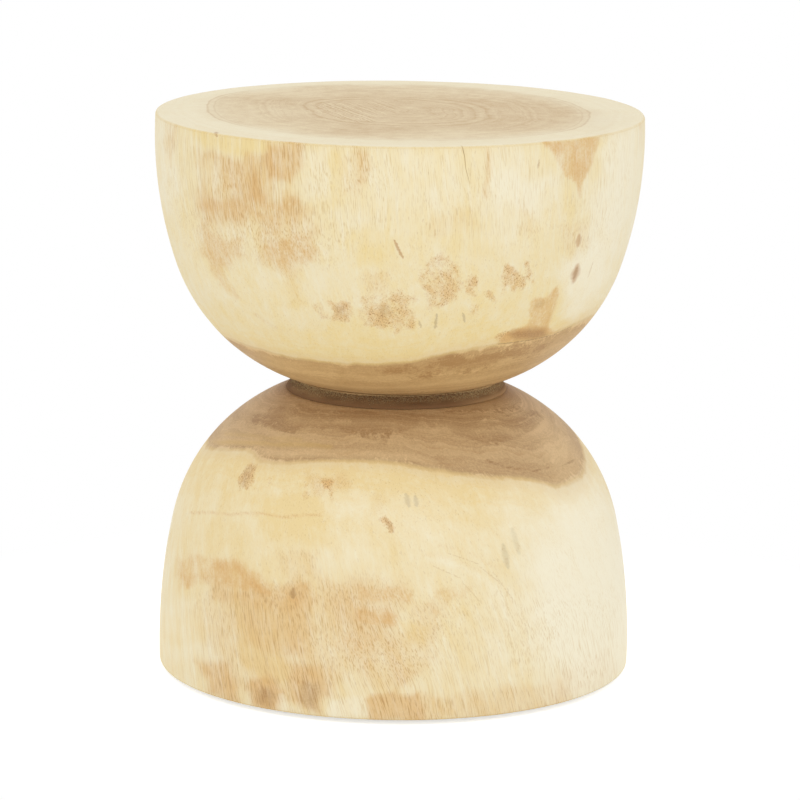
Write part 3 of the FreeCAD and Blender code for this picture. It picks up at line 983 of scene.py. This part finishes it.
def drawDashes(material, surface, dashes):
    tree = material.node_tree
    base = tree.nodes["Principled BSDF"].inputs["Base Color"]
    colour = base.links[0].from_socket
    place = objectPlace(tree)
    waver = noise(tree, scaled(tree, place, 1 / dashWaver["size"]))["Color"]
    waver = vectorCalc(tree, "SUBTRACT", waver, (0.5, 0.5, 0.5))
    place = vectorCalc(tree, "ADD", place, scaled(tree, waver, dashWaver["reach"]))
    for one in dashes:
        start, end = (tuple(surface.hit(where)[0]) for where in one["ends"])
        given = {"Place": place, "Start": start, "End": end, "Width": one["width"] * mm}
        drawn = placeGroup(tree, taperedDash, given)["Share"]
        colour = mixColour(tree, times(tree, drawn, one["share"]), colour, srgb(one["colour"]))
    feed(tree, base, colour)


# Edges of the heartwood: pixels along them, and turns in degrees with radii in millimetres elsewhere
bowlHeart = {
    "edgePixels": [(235, 341), (262, 350), (290, 358), (330, 363), (375, 365), (415, 362), (430, 357),
                   (467, 351), (487, 347), (497, 345), (515, 342), (535, 339), (555, 333), (570, 327),
                   (580, 322), (590, 317)],
    "edgeBehind": [(115, 150), (150, 143), (180, 139), (215, 141), (245, 137)],
    "endEdge": [(0, 163), (40, 168), (66, 158), (88, 148), (120, 155), (155, 161), (180, 173),
                (202, 168), (228, 181), (267, 150), (328, 157)],
}
domeHeart = {
    "edgePixels": [(207, 447), (230, 449), (250, 449), (256, 455), (262, 461), (290, 462), (322, 460),
                   (355, 460), (385, 461), (400, 463), (417, 466), (437, 470), (465, 474), (492, 477),
                   (520, 477), (540, 481), (552, 485), (565, 483), (577, 478), (584, 469)],
    "edgeBehind": [(95, 146), (125, 142), (150, 146), (180, 151), (215, 147), (240, 150)],
    "endEdge": [(0, 148), (60, 156), (120, 150), (180, 146), (240, 153), (300, 151)],
}
heartBlend = {"belly": 3, "end": 80}  # half degrees
neckShadeAndSoil = {"reach": 17 * mm, "amount": 0.45}  # painted shade under the bowl, together with filler rubbed onto the dome beside the collar
# A drying crack that opens at the rim and runs down with the grain
crack = {
    "turns": (14.0, 15.9),
    "drop": 33 * mm,
    "ontoTop": 5 * mm,
    "width": 0.6 * mm,
    "narrowest": 0.3,  # share of its width
    "depth": 0.7 * mm,
    "darkened": 0.6,
    "soiledAlong": 1.6,
    "fading": 0.6,  # power that keeps it open for most of its length
    "window": 7.0,  # degrees of wood that lean with it
    "leaning": 1.5,  # windows
    "gather": 2.2,  # draws the mesh lines in towards the crack
    "wander": 0.16,
    "wanderTurn": 9,
}


def meshVectors(items, name):
    values = np.empty(len(items) * 3)
    items.foreach_get(name, values)
    return values.reshape(-1, 3)


def softStep(values):
    share = np.clip(values, 0, 1)
    return share * share * (3 - 2 * share)


# Cosines over which a mark fades where the surface turns away
markFade = {"seen": 0.4, "spotFrom": 0.1, "spot": 0.4}
topNormal = 0.95  # a surface whose normal is more upright than this is a flat


class Surface:
    def __init__(self, mesh, axisX):
        self.points = meshVectors(mesh.vertices, "co")
        self.normals = meshVectors(mesh.vertex_normals, "vector")
        self.axisX = axisX
        self.turn = np.degrees(np.arctan2(self.points[:, 0] - axisX, -self.points[:, 1])) % 360
        self.radius = np.hypot(self.points[:, 0] - axisX, self.points[:, 1])

    def lookAt(self, mesh):
        self.tree = BVHTree.FromPolygons(self.points.tolist(), [p.vertices[:] for p in mesh.polygons])
        self.pixels = photoPixels(self.points)
        toEye = np.array(photoView["eye"]) - self.points
        facing = (self.normals * toEye).sum(1) / np.linalg.norm(toEye, axis=1)
        self.seen = softStep(facing / markFade["seen"])

    def hit(self, values):
        if "pixel" in values:
            return self.tree.ray_cast(*photoRay(values["pixel"]))[:2]
        turn = math.radians(values["around"][0])
        outward = Vector((math.sin(turn), -math.cos(turn), 0))
        start = Vector((self.axisX, 0, values["around"][1] * mm)) + outward
        return self.tree.ray_cast(start, -outward)[:2]

    def polar(self, pixel):
        place, _ = self.hit({"pixel": pixel})
        turn = math.degrees(math.atan2(place.x - self.axisX, -place.y)) % 360
        return turn, math.hypot(place.x - self.axisX, place.y) / mm


# Outlines wander by a share of their softness, in waves with lengths in pixels
outlineWander = {
    "share": 0.13,
    "softest": 22,
    "ripple": 0.6,
    "sideways": {"length": 7.3, "sway": 1.1, "swayLength": 11.0, "start": 0.0, "ripples": (3.7, 5.1)},
    "upright": {"length": 8.1, "sway": 1.3, "swayLength": 9.4, "start": 2.0, "ripples": (4.3, -4.9)},
}


def wandering(along, across, waves):
    swayed = along / waves["length"] + waves["sway"] * np.sin(across / waves["swayLength"]) + waves["start"]
    rippled = along / waves["ripples"][0] + across / waves["ripples"][1]
    return np.sin(swayed) + outlineWander["ripple"] * np.sin(rippled)


def drawnShare(surface, values):
    corners = np.array(values["corners"], float)
    x, y = surface.pixels.T
    reach = outlineWander["share"] * min(values["soft"], outlineWander["softest"])
    sideways = reach * wandering(y, x, outlineWander["sideways"])
    upright = reach * wandering(x, y, outlineWander["upright"])
    x, y = x + sideways, y + upright
    distance = np.full(len(x), np.inf)
    inside = np.zeros(len(x), bool)
    isOpen = values["width"] is not None
    ends = corners[1:] if isOpen else np.roll(corners, -1, axis=0)
    for (ax, ay), (bx, by) in zip(corners, ends):
        alongX, alongY = bx - ax, by - ay
        share = np.clip(((x - ax) * alongX + (y - ay) * alongY) / (alongX**2 + alongY**2), 0, 1)
        distance = np.minimum(distance, np.hypot(x - ax - share * alongX, y - ay - share * alongY))
        if by != ay:
            inside ^= ((ay > y) != (by > y)) & (x < ax + (y - ay) / (by - ay) * alongX)
    depth = values["width"] / 2 - distance if isOpen else np.where(inside, distance, -distance)
    return softStep(depth / values["soft"] + 0.5) * surface.seen


spotLumps = ((2, 0.14), (3, 0.16), (5, 0.1), (8, 0.06))  # waves around an oval's outline, and their shares


def spotShare(surface, values):
    place, normal = surface.hit(values)
    up = Vector((0, 0, 1)) if abs(normal.z) < topNormal else Vector((0, 1, 0))
    up = (up - normal * up.dot(normal)).normalized()
    east = up.cross(normal)
    tilt = math.radians(values["tilt"])
    longways = up * math.cos(tilt) - east * math.sin(tilt)
    sideways = east * math.cos(tilt) + up * math.sin(tilt)
    apart = (surface.points - np.array(place)) / mm
    across = apart @ np.array(sideways) / values["half"][0]
    upwards = apart @ np.array(longways) / values["half"][1]
    angle = np.arctan2(upwards, across)
    phase = sum(values.get("around") or values["pixel"])
    lumps = sum(size * np.sin(count * angle + phase * count) for count, size in spotLumps)
    reach = np.hypot(across, upwards) * (1 + lumps)
    facing = softStep((surface.normals @ np.array(normal) - markFade["spotFrom"]) / markFade["spot"])
    return softStep((1 - reach) / values["soft"] + 0.5) * facing


def aroundEdge(pairs, blend):
    turns, radii = zip(*sorted(pairs))
    degrees = np.arange(720) / 2
    line = np.interp(degrees, turns, radii, period=360)
    weights = np.exp(-np.linspace(-2, 2, 2 * blend + 1) ** 2)
    wrapped = np.concatenate([line[-blend:], line, line[:blend]])
    smooth = np.convolve(wrapped, weights / weights.sum(), "valid")
    return lambda turn: np.interp(turn, degrees, smooth, period=360)


def openCrack(mesh, top):
    surface = Surface(mesh, bowl["axisX"])
    middle = sum(crack["turns"]) / 2
    turn = (surface.turn - middle + 180) % 360 - 180
    nearby = np.abs(turn) < crack["window"]
    share = np.abs(turn[nearby]) / crack["window"]
    turn[nearby] = np.sign(turn[nearby]) * share ** crack["gather"] * crack["window"]
    down = np.clip((top - surface.points[:, 2]) / crack["drop"], 0, 1)
    path = crack["turns"][0] + (crack["turns"][1] - crack["turns"][0]) * down
    path += crack["wander"] * np.sin(down * crack["wanderTurn"]) * np.sin(down * math.pi)
    lean = (path - middle) * softStep(crack["leaning"] - np.abs(turn) / crack["window"])
    moved = np.radians(turn + middle + lean)
    outer = surface.radius > turnedHalves["outerFlat"] * bowl["edgeRadius"]
    outer &= surface.points[:, 2] > top - 2 * crack["drop"]
    surface.points[outer, 0] = (surface.radius * np.sin(moved))[outer]
    surface.points[outer, 1] = (-surface.radius * np.cos(moved))[outer]
    downWall = 1 - (top - surface.points[:, 2]) / crack["drop"]
    acrossTop = 1 - (bowl["edgeRadius"] - surface.radius) / crack["ontoTop"]
    fade = np.clip(np.minimum(downWall, acrossTop), 0, 1) ** crack["fading"]
    aside = np.abs(turn) * np.radians(1) * surface.radius
    halfWidth = crack["width"] / 2 * np.maximum(fade, crack["narrowest"])
    opened = np.clip(1 - aside / halfWidth, 0, 1) * (fade > 0)
    surface.points -= surface.normals * (opened * fade * crack["depth"])[:, None]
    mesh.vertices.foreach_set("co", surface.points.ravel())
    mesh.update()
    return opened * softStep(fade * crack["soiledAlong"]) * crack["darkened"]


# How upright a normal is where the flat's end grain starts, and where the rim's edge is tinted as wear
# together with a painted highlight
flatness = {"endFrom": 0.75, "rimTintFrom": 0.05, "rimTintTo": 0.98, "fade": 0.2, "edgeRounds": 1.5}


def paintWood(mesh, values, marks, heart, edgeHeight, neckHeight, crackShare):
    surface = Surface(mesh, values["axisX"])
    surface.lookAt(mesh)
    layers = {name: np.zeros(len(surface.points)) for name in woodLayers}
    for layer, drawn in marks.items():
        for one in drawn:
            share = drawnShare(surface, one) if "corners" in one else spotShare(surface, one)
            layers[layer] = 1 - (1 - layers[layer]) * (1 - share * one["amount"])
    upright = np.abs(surface.normals[:, 2])
    fade = flatness["fade"]
    atEdge = np.abs(surface.points[:, 2] - edgeHeight) < flatness["edgeRounds"] * values["edgeRound"]
    layers["End"] = softStep((upright - flatness["endFrom"]) / fade) * atEdge
    # The rim's rounded edge is tinted all round: wear together with a painted highlight
    rimTint = softStep((upright - flatness["rimTintFrom"]) / fade) * atEdge
    rimTint *= softStep((flatness["rimTintTo"] - upright) / fade)
    layers["RimWearAndHighlight"] = np.maximum(layers["RimWearAndHighlight"], rimTint)
    layers["Crack"] = crackShare
    # The dome is darkened beside the collar: painted shade under the bowl, together with soil
    if values is dome:
        reach = neckShadeAndSoil["reach"]
        nearNeck = softStep((values["neckRadius"] + reach - surface.radius) / reach)
        layers["NeckShadeSoil"] = nearNeck * neckShadeAndSoil["amount"] * (surface.points[:, 2] > neckHeight - 2 * reach)
    onBelly = [surface.polar(pixel) for pixel in heart["edgePixels"]] + heart["edgeBehind"]
    bellyEdge = aroundEdge(onBelly, heartBlend["belly"])
    endEdge = aroundEdge(heart["endEdge"], heartBlend["end"])
    edge = np.where(layers["End"] > 0.5, endEdge(surface.turn), bellyEdge(surface.turn))
    layers["Heart"] = edge - surface.radius / mm
    for name, shares in layers.items():
        attribute = mesh.attributes.new("wood" + name, "FLOAT", "POINT")
        attribute.data.foreach_set("value", shares.astype(np.float32))
    return surface


sanding = {"Around": turnedHalves["around"], "Depth": 0.5 * mm, "Wave": 42.0 * mm, "Seed": 3}


def makeHalf(name, values, wood, marks, dashes, heart):
    low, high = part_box(values["node"])
    edgeHeight, neckHeight = (high.z, low.z) if values is bowl else (low.z, high.z)
    finish = woodMaterial(name + "_wood", wood)
    outline = halfOutline(values, edgeHeight, neckHeight)
    piece = turnedPiece(name, outline, lambda height: values["axisX"], {**sanding, "Finish": finish})
    crackShare = openCrack(piece.data, edgeHeight) if values is bowl else np.zeros(len(piece.data.vertices))
    surface = paintWood(piece.data, values, marks, heart, edgeHeight, neckHeight, crackShare)
    drawDashes(finish, surface, dashes)
    finishPiece(piece, values["node"], turnedHalves["sharpAngle"])


makeHalf("turned_bowl", bowl, bowlWood, bowlMarks, bowlDashes, bowlHeart)
makeHalf("turned_dome", dome, domeWood, domeMarks, domeDashes, domeHeart)

# Rough filler round the neck, with crumbs standing on it
collar = {
    "node": "neck_collar",
    "wallRings": 22,
    "boreRings": 2,
    "faceRings": 6,
    "boreRadius": 30.15 * mm,
    "lowRadius": 89.9 * mm,
    "highRadius": 84.7 * mm,
    "sharpAngle": 60,
    "turning": {"Around": 1080, "Depth": 0.2 * mm, "Wave": 9.0 * mm, "Seed": 5},
    "crumbling": {"Depth": 0.75 * mm, "Wave": 1.5 * mm, "Crumb": 0.42 * mm, "Density": 520000.0, "Seed": 11},
    "smoothBelow": 2 * mm,
    "smoothDepth": 0.25,  # share of the crumbling's depth there
    "sideNormal": 0.8,  # crumbs stand where the normal is less upright than this
    "crumbSizes": (0.45, 1.15),
}
fillerColours = {
    "dark": (120, 90, 58),
    "brown": (152, 118, 80),
    "olive": (178, 154, 110),
    "crumb": (198, 176, 134),
    # painted shade: the filler darkens towards the middle of its front and back, under the bowl
    "frontShade": (88, 54, 26),
    # painted light: a lighter band at the collar's top, which lifts the shade under the bowl's edge
    "paintedLightLip": (212, 178, 128),
    "foot": (130, 97, 65),
    "footRight": (172, 136, 94),
}
# Where each of the filler's colours starts and is full. Heights are from the collar's foot or its lip.
fillerRamps = {
    "brown": (0.35, 0.65),
    "olive": (0.42, 0.62),
    "crumb": (0.4, 1.4, 0.0, 0.8),
    "frontShade": (75 * mm, 25 * mm, 0.0, 0.5),
    "footRight": (40 * mm, 80 * mm),
    "roughFromFoot": 5 * mm,
    "roughWander": 6 * mm,
    "roughToLip": 1 * mm,
    "foot": (6 * mm, 1.5 * mm),
    "footWander": 3 * mm,
    "paintedLightLip": (0.3 * mm, 1.8 * mm),
    "paintedLightLipShares": (0.0, 0.9),
    "paintedLightLipWander": 2 * mm,
}
fillerClouds = (30.0, 30.0, 5.0)  # mm
fillerGrit = {"detail": 3.0, "roughness": 0.65}
fillerRoughness = (0.72, 0.3)  # a start, and what the grit adds
fillerRelief = {"Strength": 0.6, "Distance": 0.4 * mm}
fillerShine = {"Specular IOR Level": 0.2}


def crumblyTree(values, lowest, highest):
    inputs = {"Depth": "Float", "Wave": "Float", "Crumb": "Float", "Density": "Float", "Seed": "Int"}
    tree, given, leaving = newShapeTree("crumblyFiller", inputs)
    place = addNode(tree, "GeometryNodeInputPosition").outputs[0]
    upper = step(tree, splitVector(tree, place)["Z"], lowest, highest)
    waves = surfaceWaves(tree, given["Wave"], given["Seed"], waveDetail["crumbly"])
    depth = weigh(tree, values["smoothDepth"], (upper, 1 - values["smoothDepth"]))
    rough = sinkSurface(tree, given["Geometry"], times(tree, waves, times(tree, given["Depth"], depth)))
    normal = splitVector(tree, addNode(tree, "GeometryNodeInputNormal").outputs[0])
    outside = calc(tree, "LESS_THAN", calc(tree, "ABSOLUTE", normal["Z"]), values["sideNormal"])
    density = times(tree, given["Density"], upper)
    spreading = {"Mesh": rough, "Selection": outside, "Density": density, "Seed": given["Seed"]}
    spread = addNode(tree, "GeometryNodeDistributePointsOnFaces", spreading, distribute_method="RANDOM")
    crumb = addNode(tree, "GeometryNodeMeshIcoSphere", {"Radius": given["Crumb"], "Subdivisions": 1})
    smallest, largest = values["crumbSizes"]
    sizes = {2: smallest, 3: largest, "Seed": given["Seed"]}
    size = addNode(tree, "FunctionNodeRandomValue", sizes, data_type="FLOAT").outputs[1]
    standing = {"Points": spread.outputs["Points"], "Instance": crumb.outputs["Mesh"],
                "Rotation": spread.outputs["Rotation"], "Scale": size}
    crumbs = addNode(tree, "GeometryNodeInstanceOnPoints", standing).outputs[0]
    tint = {"Geometry": crumbs, "Name": "crumbTint", "Value": size}
    tinted = addNode(tree, "GeometryNodeStoreNamedAttribute", tint, data_type="FLOAT", domain="INSTANCE")
    together = addNode(tree, "GeometryNodeJoinGeometry")
    for shape in (tinted.outputs[0], rough):
        feed(tree, together.inputs[0], shape)
    finishShape(tree, together.outputs[0], given["Finish"], leaving)
    return tree


def fillerMaterial(ramps, lowest, highest):
    material, tree = newMaterial("neck_filler")
    colours = {label: srgb(colour) for label, colour in fillerColours.items()}
    place = objectPlace(tree)
    inMm = scaled(tree, place, 1 / mm)
    across, _, height = splitVector(tree, place)
    grit = noise(tree, inMm, **fillerGrit)[0]
    cloud = noise(tree, vectorCalc(tree, "DIVIDE", inMm, fillerClouds))[0]
    smooth = mixColour(tree, step(tree, cloud, *ramps["brown"]), colours["dark"], colours["brown"])
    rough = mixColour(tree, step(tree, grit, *ramps["olive"]), colours["dark"], colours["olive"])
    upper = weigh(tree, height, (cloud, ramps["roughWander"]))
    upper = step(tree, upper, lowest + ramps["roughFromFoot"], highest + ramps["roughToLip"])
    filler = mixColour(tree, upper, smooth, rough)
    crumb = addNode(tree, "ShaderNodeAttribute", attribute_name="crumbTint").outputs["Fac"]
    filler = mixColour(tree, step(tree, crumb, *ramps["crumb"]), filler, colours["crumb"])
    # Painted shade: darker towards the middle of the front and back, where the bowl shades the collar
    frontShade = step(tree, calc(tree, "ABSOLUTE", across), *ramps["frontShade"])
    filler = mixColour(tree, frontShade, filler, colours["frontShade"])
    smeared = weigh(tree, height, (cloud, ramps["footWander"]))
    smeared = step(tree, smeared, *(lowest + rise for rise in ramps["foot"]))
    foot = mixColour(tree, step(tree, across, *ramps["footRight"]), colours["foot"], colours["footRight"])
    filler = mixColour(tree, smeared, filler, foot)
    # Painted light: a lighter band at the collar's top, which lifts the shade under the bowl's edge
    paintedLightAtLip = weigh(tree, height, (grit, ramps["paintedLightLipWander"]), (cloud, ramps["paintedLightLipWander"]))
    paintedLightAtLip = step(tree, paintedLightAtLip, *(highest + rise for rise in ramps["paintedLightLip"]), *ramps["paintedLightLipShares"])
    filler = mixColour(tree, paintedLightAtLip, filler, colours["paintedLightLip"])
    leastRough, rougher = fillerRoughness
    roughness = weigh(tree, leastRough, (grit, rougher))
    showSurface(tree, filler, roughness, grit, fillerRelief, fillerShine)
    return material


def makeCollar(values):
    low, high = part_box(values["node"])
    corners = (("lowRadius", low.z, "faceRings"), ("highRadius", high.z, "wallRings"),
               ("boreRadius", high.z, "faceRings"), ("boreRadius", low.z, "boreRings"))
    outline = [Vector((values["boreRadius"], low.z))]
    for radius, height, rings in corners:
        outline = lineTo(outline, Vector((values[radius], height)), values[rings])

    def axisAt(height):
        return dome["axisX"] * (high.z - height) / (high.z - low.z)

    finish = fillerMaterial(fillerRamps, low.z, high.z)
    piece = turnedPiece("rough_collar", outline, axisAt, {**values["turning"], "Finish": finish})
    crumbly = crumblyTree(values, low.z + values["smoothBelow"], high.z)
    shapeByNodes(piece, crumbly, {**values["crumbling"], "Finish": finish})
    finishPiece(piece, values["node"], values["sharpAngle"])


makeCollar(collar)

# Finishes from a fine and a broad noise, which are given by their waves in a millimetre
woolFelt = {
    "name": "wool_felt",
    "dark": (92, 70, 52),
    "light": (136, 108, 84),
    "fine": (5.0, 5.0, 2.2),
    "fineDetail": (3.0, 0.7),
    "broad": (0.7, 0.7, 0.7),
    "shade": (-0.6, 1.5, 0.7),  # a start, and what each noise adds to it
    "roughness": (0.85, 0.2),  # a start, and what the fine noise adds
    "relief": {"Strength": 0.7, "Distance": 0.3 * mm},
    "shine": {"Specular IOR Level": 0.1, "Sheen Weight": 0.3, "Sheen Roughness": 0.6},
}
cupPlastic = {
    "name": "moulded_cup",
    "dark": (50, 42, 36),
    "light": (66, 57, 50),
    "fine": (2.2, 2.2, 2.2),
    "fineDetail": (2.0, 0.5),
    "broad": (0.18, 0.18, 0.18),
    "shade": (0.0, 0.0, 1.0),
    "roughness": (0.38, 0.25),
    "relief": {"Strength": 0.25, "Distance": 0.2 * mm},
    "shine": {"Specular IOR Level": 0.4},
}
screwSteel = {
    "name": "brushed_screw",
    "dark": (132, 128, 122),
    "light": (186, 183, 176),
    "fine": (9.0, 0.8, 0.8),
    "fineDetail": (2.0, 0.5),
    "broad": (0.8, 0.8, 0.8),
    "shade": (0.0, 1.0, 0.0),
    "roughness": (0.22, 0.3),
    "relief": {"Strength": 0.15, "Distance": 0.1 * mm},
    "shine": {"Metallic": 1.0},
}


def noisyMaterial(values):
    material, tree = newMaterial(values["name"])
    inMm = scaled(tree, objectPlace(tree), 1 / mm)
    fine = noise(tree, vectorCalc(tree, "MULTIPLY", inMm, values["fine"]), *values["fineDetail"])[0]
    broad = noise(tree, vectorCalc(tree, "MULTIPLY", inMm, values["broad"]))[0]
    start, fineShare, broadShare = values["shade"]
    shade = weigh(tree, start, (fine, fineShare), (broad, broadShare), clamp=True)
    colour = mixColour(tree, shade, srgb(values["dark"]), srgb(values["light"]))
    leastRough, rougher = values["roughness"]
    roughness = weigh(tree, leastRough, (fine, rougher))
    showSurface(tree, colour, roughness, fine, values["relief"], values["shine"])
    return material


# Felt rings under the glides, firm and lightly fuzzy
felt = {
    "innerRadius": 5.2 * mm,
    "edgeRound": 0.55 * mm,
    "cornerRings": 4,
    "sideRings": 5,
    "sharpAngle": 50,
    "turning": {"Around": 120, "Depth": 0.16 * mm, "Wave": 0.9 * mm, "Seed": 8},
    "fill": 0.9,
}


def feltOutline(values, inner, outer, low, high):
    corners = [Vector(place) for place in ((inner, low), (outer, low), (outer, high), (inner, high))]
    outline = []
    for i, corner in enumerate(corners):
        before = (corners[i - 1] - corner).normalized()
        after = (corners[(i + 1) % 4] - corner).normalized()
        bend = roundCorner(corner, before, after, values["edgeRound"], values["cornerRings"])
        outline = lineTo(outline, bend[0], values["sideRings"]) + bend[1:] if outline else bend
    return lineTo(outline, outline[0], values["sideRings"])


def makeFelts(values):
    finish = noisyMaterial(woolFelt)
    for node in [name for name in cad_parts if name.startswith("glide_felt_")]:
        low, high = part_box(node)
        outline = feltOutline(values, values["innerRadius"], (high.x - low.x) / 2, low.z, high.z)
        centre = ((low.x + high.x) / 2, (low.y + high.y) / 2, 0.0)
        turning = {**values["turning"], "Centre": centre, "Finish": finish}
        piece = turnedPiece(node.replace("glide_felt", "felt_ring"), outline, lambda height: 0.0, turning)
        finishPiece(piece, node, values["sharpAngle"])


makeFelts(felt)

# The tenon, the cups and the screws stay as the CAD made them
tenonWood = {
    "Twist": 0.0004,
    "Seed": (9.0, 61.0, 88.0),
    "pale": (206, 166, 118),
    "deep": (160, 118, 76),
    "depth": 0.5,
    "grain": {"Streak": 1.2, "Fibre": 1.2, "Hair": 0.8},  # what each adds to the depth
    "roughness": (0.6, 0.3),
    "relief": {"Strength": 0.3, "Distance": 0.3 * mm},
    "shine": {"Specular IOR Level": 0.3},
}


def tenonMaterial(values):
    material, tree = newMaterial("tenon_hardwood")
    given = {"Place": objectPlace(tree), "Twist": values["Twist"], "Seed": values["Seed"]}
    grain = placeGroup(tree, logGrain, given)
    weights = [(grain[label], weight) for label, weight in values["grain"].items()]
    depth = weigh(tree, values["depth"], *weights, clamp=True)
    colour = mixColour(tree, depth, srgb(values["pale"]), srgb(values["deep"]))
    leastRough, rougher = values["roughness"]
    roughness = weigh(tree, leastRough, (grain["Fibre"], rougher))
    showSurface(tree, colour, roughness, grain["Hair"], values["relief"], values["shine"])
    return material


def dressNodes(start, material):
    for name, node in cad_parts.items():
        if name.startswith(start):
            node.material_slots[0].material = material


dressNodes("glide_cup", noisyMaterial(cupPlastic))
dressNodes("glide_screw", noisyMaterial(screwSteel))
dressNodes("neck_tenon", tenonMaterial(tenonWood))
print("glides and tenon finished")

# White floor and soft light from all round
studio = {
    "floorSize": 30.0,
    "floorColour": (0.93, 0.93, 0.93, 1),
    "floorGlow": 0.6,  # lifts the floor to white where the camera looks at it
    "shadowReach": (0.19, 0.5),  # m from the middle, where the floor fades to plain white
    "worldLight": 0.88,
    "aim": (0, 0, 0.25),
    "lamps": [
        {"name": "keySoftbox", "at": (-1.6, -2.4, 2.6), "size": 2.2, "watts": 13},
        {"name": "fillSoftbox", "at": (2.0, -2.2, 1.8), "size": 2.2, "watts": 9},
        {"name": "topSoftbox", "at": (0.0, 0.3, 2.8), "size": 2.4, "watts": 3},
    ],
}


def cameraSees(tree):
    rays = addNode(tree, "ShaderNodeLightPath").outputs
    seen = calc(tree, "ADD", rays["Is Camera Ray"], rays["Is Glossy Ray"])
    return calc(tree, "ADD", seen, rays["Is Transmission Ray"], clamp=True)


def floorMaterial(values):
    material, tree = newMaterial("whiteFloor")
    matte = addNode(tree, "ShaderNodeBsdfDiffuse", {"Color": values["floorColour"]})
    seen = cameraSees(tree)
    glow = addNode(tree, "ShaderNodeEmission", {"Strength": times(tree, seen, values["floorGlow"])})
    lit = addNode(tree, "ShaderNodeAddShader", {0: matte.outputs[0], 1: glow.outputs[0]})
    faded = step(tree, vectorCalc(tree, "LENGTH", objectPlace(tree)), *values["shadowReach"])
    white = addNode(tree, "ShaderNodeEmission")
    fading = {0: times(tree, faded, seen), 1: lit.outputs[0], 2: white.outputs[0]}
    fromAbove = addNode(tree, "ShaderNodeMixShader", fading)
    fromBelow = addNode(tree, "ShaderNodeBsdfTransparent")
    isBelow = addNode(tree, "ShaderNodeNewGeometry").outputs["Backfacing"]
    sides = {0: isBelow, 1: fromAbove.outputs[0], 2: fromBelow.outputs[0]}
    sided = addNode(tree, "ShaderNodeMixShader", sides)
    addNode(tree, "ShaderNodeOutputMaterial", {"Surface": sided.outputs[0]})
    return material


def makeStudio(values):
    half = values["floorSize"] / 2
    corners = [(-half, -half, 0), (half, -half, 0), (half, half, 0), (-half, half, 0)]
    mesh = bpy.data.meshes.new("floor")
    mesh.from_pydata(corners, [], [(0, 1, 2, 3)])
    mesh.materials.append(floorMaterial(values))
    floor = bpy.data.objects.new("floor", mesh)
    scene.collection.objects.link(floor)
    world = bpy.data.worlds.new("whiteRoom")
    world.use_nodes = True
    scene.world = world
    tree = world.node_tree
    background = tree.nodes["Background"]
    background.inputs["Color"].default_value = (1, 1, 1, 1)
    light = weigh(tree, values["worldLight"], (cameraSees(tree), 1 - values["worldLight"]))
    feed(tree, background.inputs["Strength"], light)
    for lamp in values["lamps"]:
        data = bpy.data.lights.new(lamp["name"], "AREA")
        data.energy = lamp["watts"]
        data.size = lamp["size"]
        placed = bpy.data.objects.new(lamp["name"], data)
        placed.location = lamp["at"]
        aim = Vector(values["aim"]) - Vector(lamp["at"])
        placed.rotation_euler = aim.to_track_quat("-Z", "Y").to_euler()
        scene.collection.objects.link(placed)


makeStudio(studio)
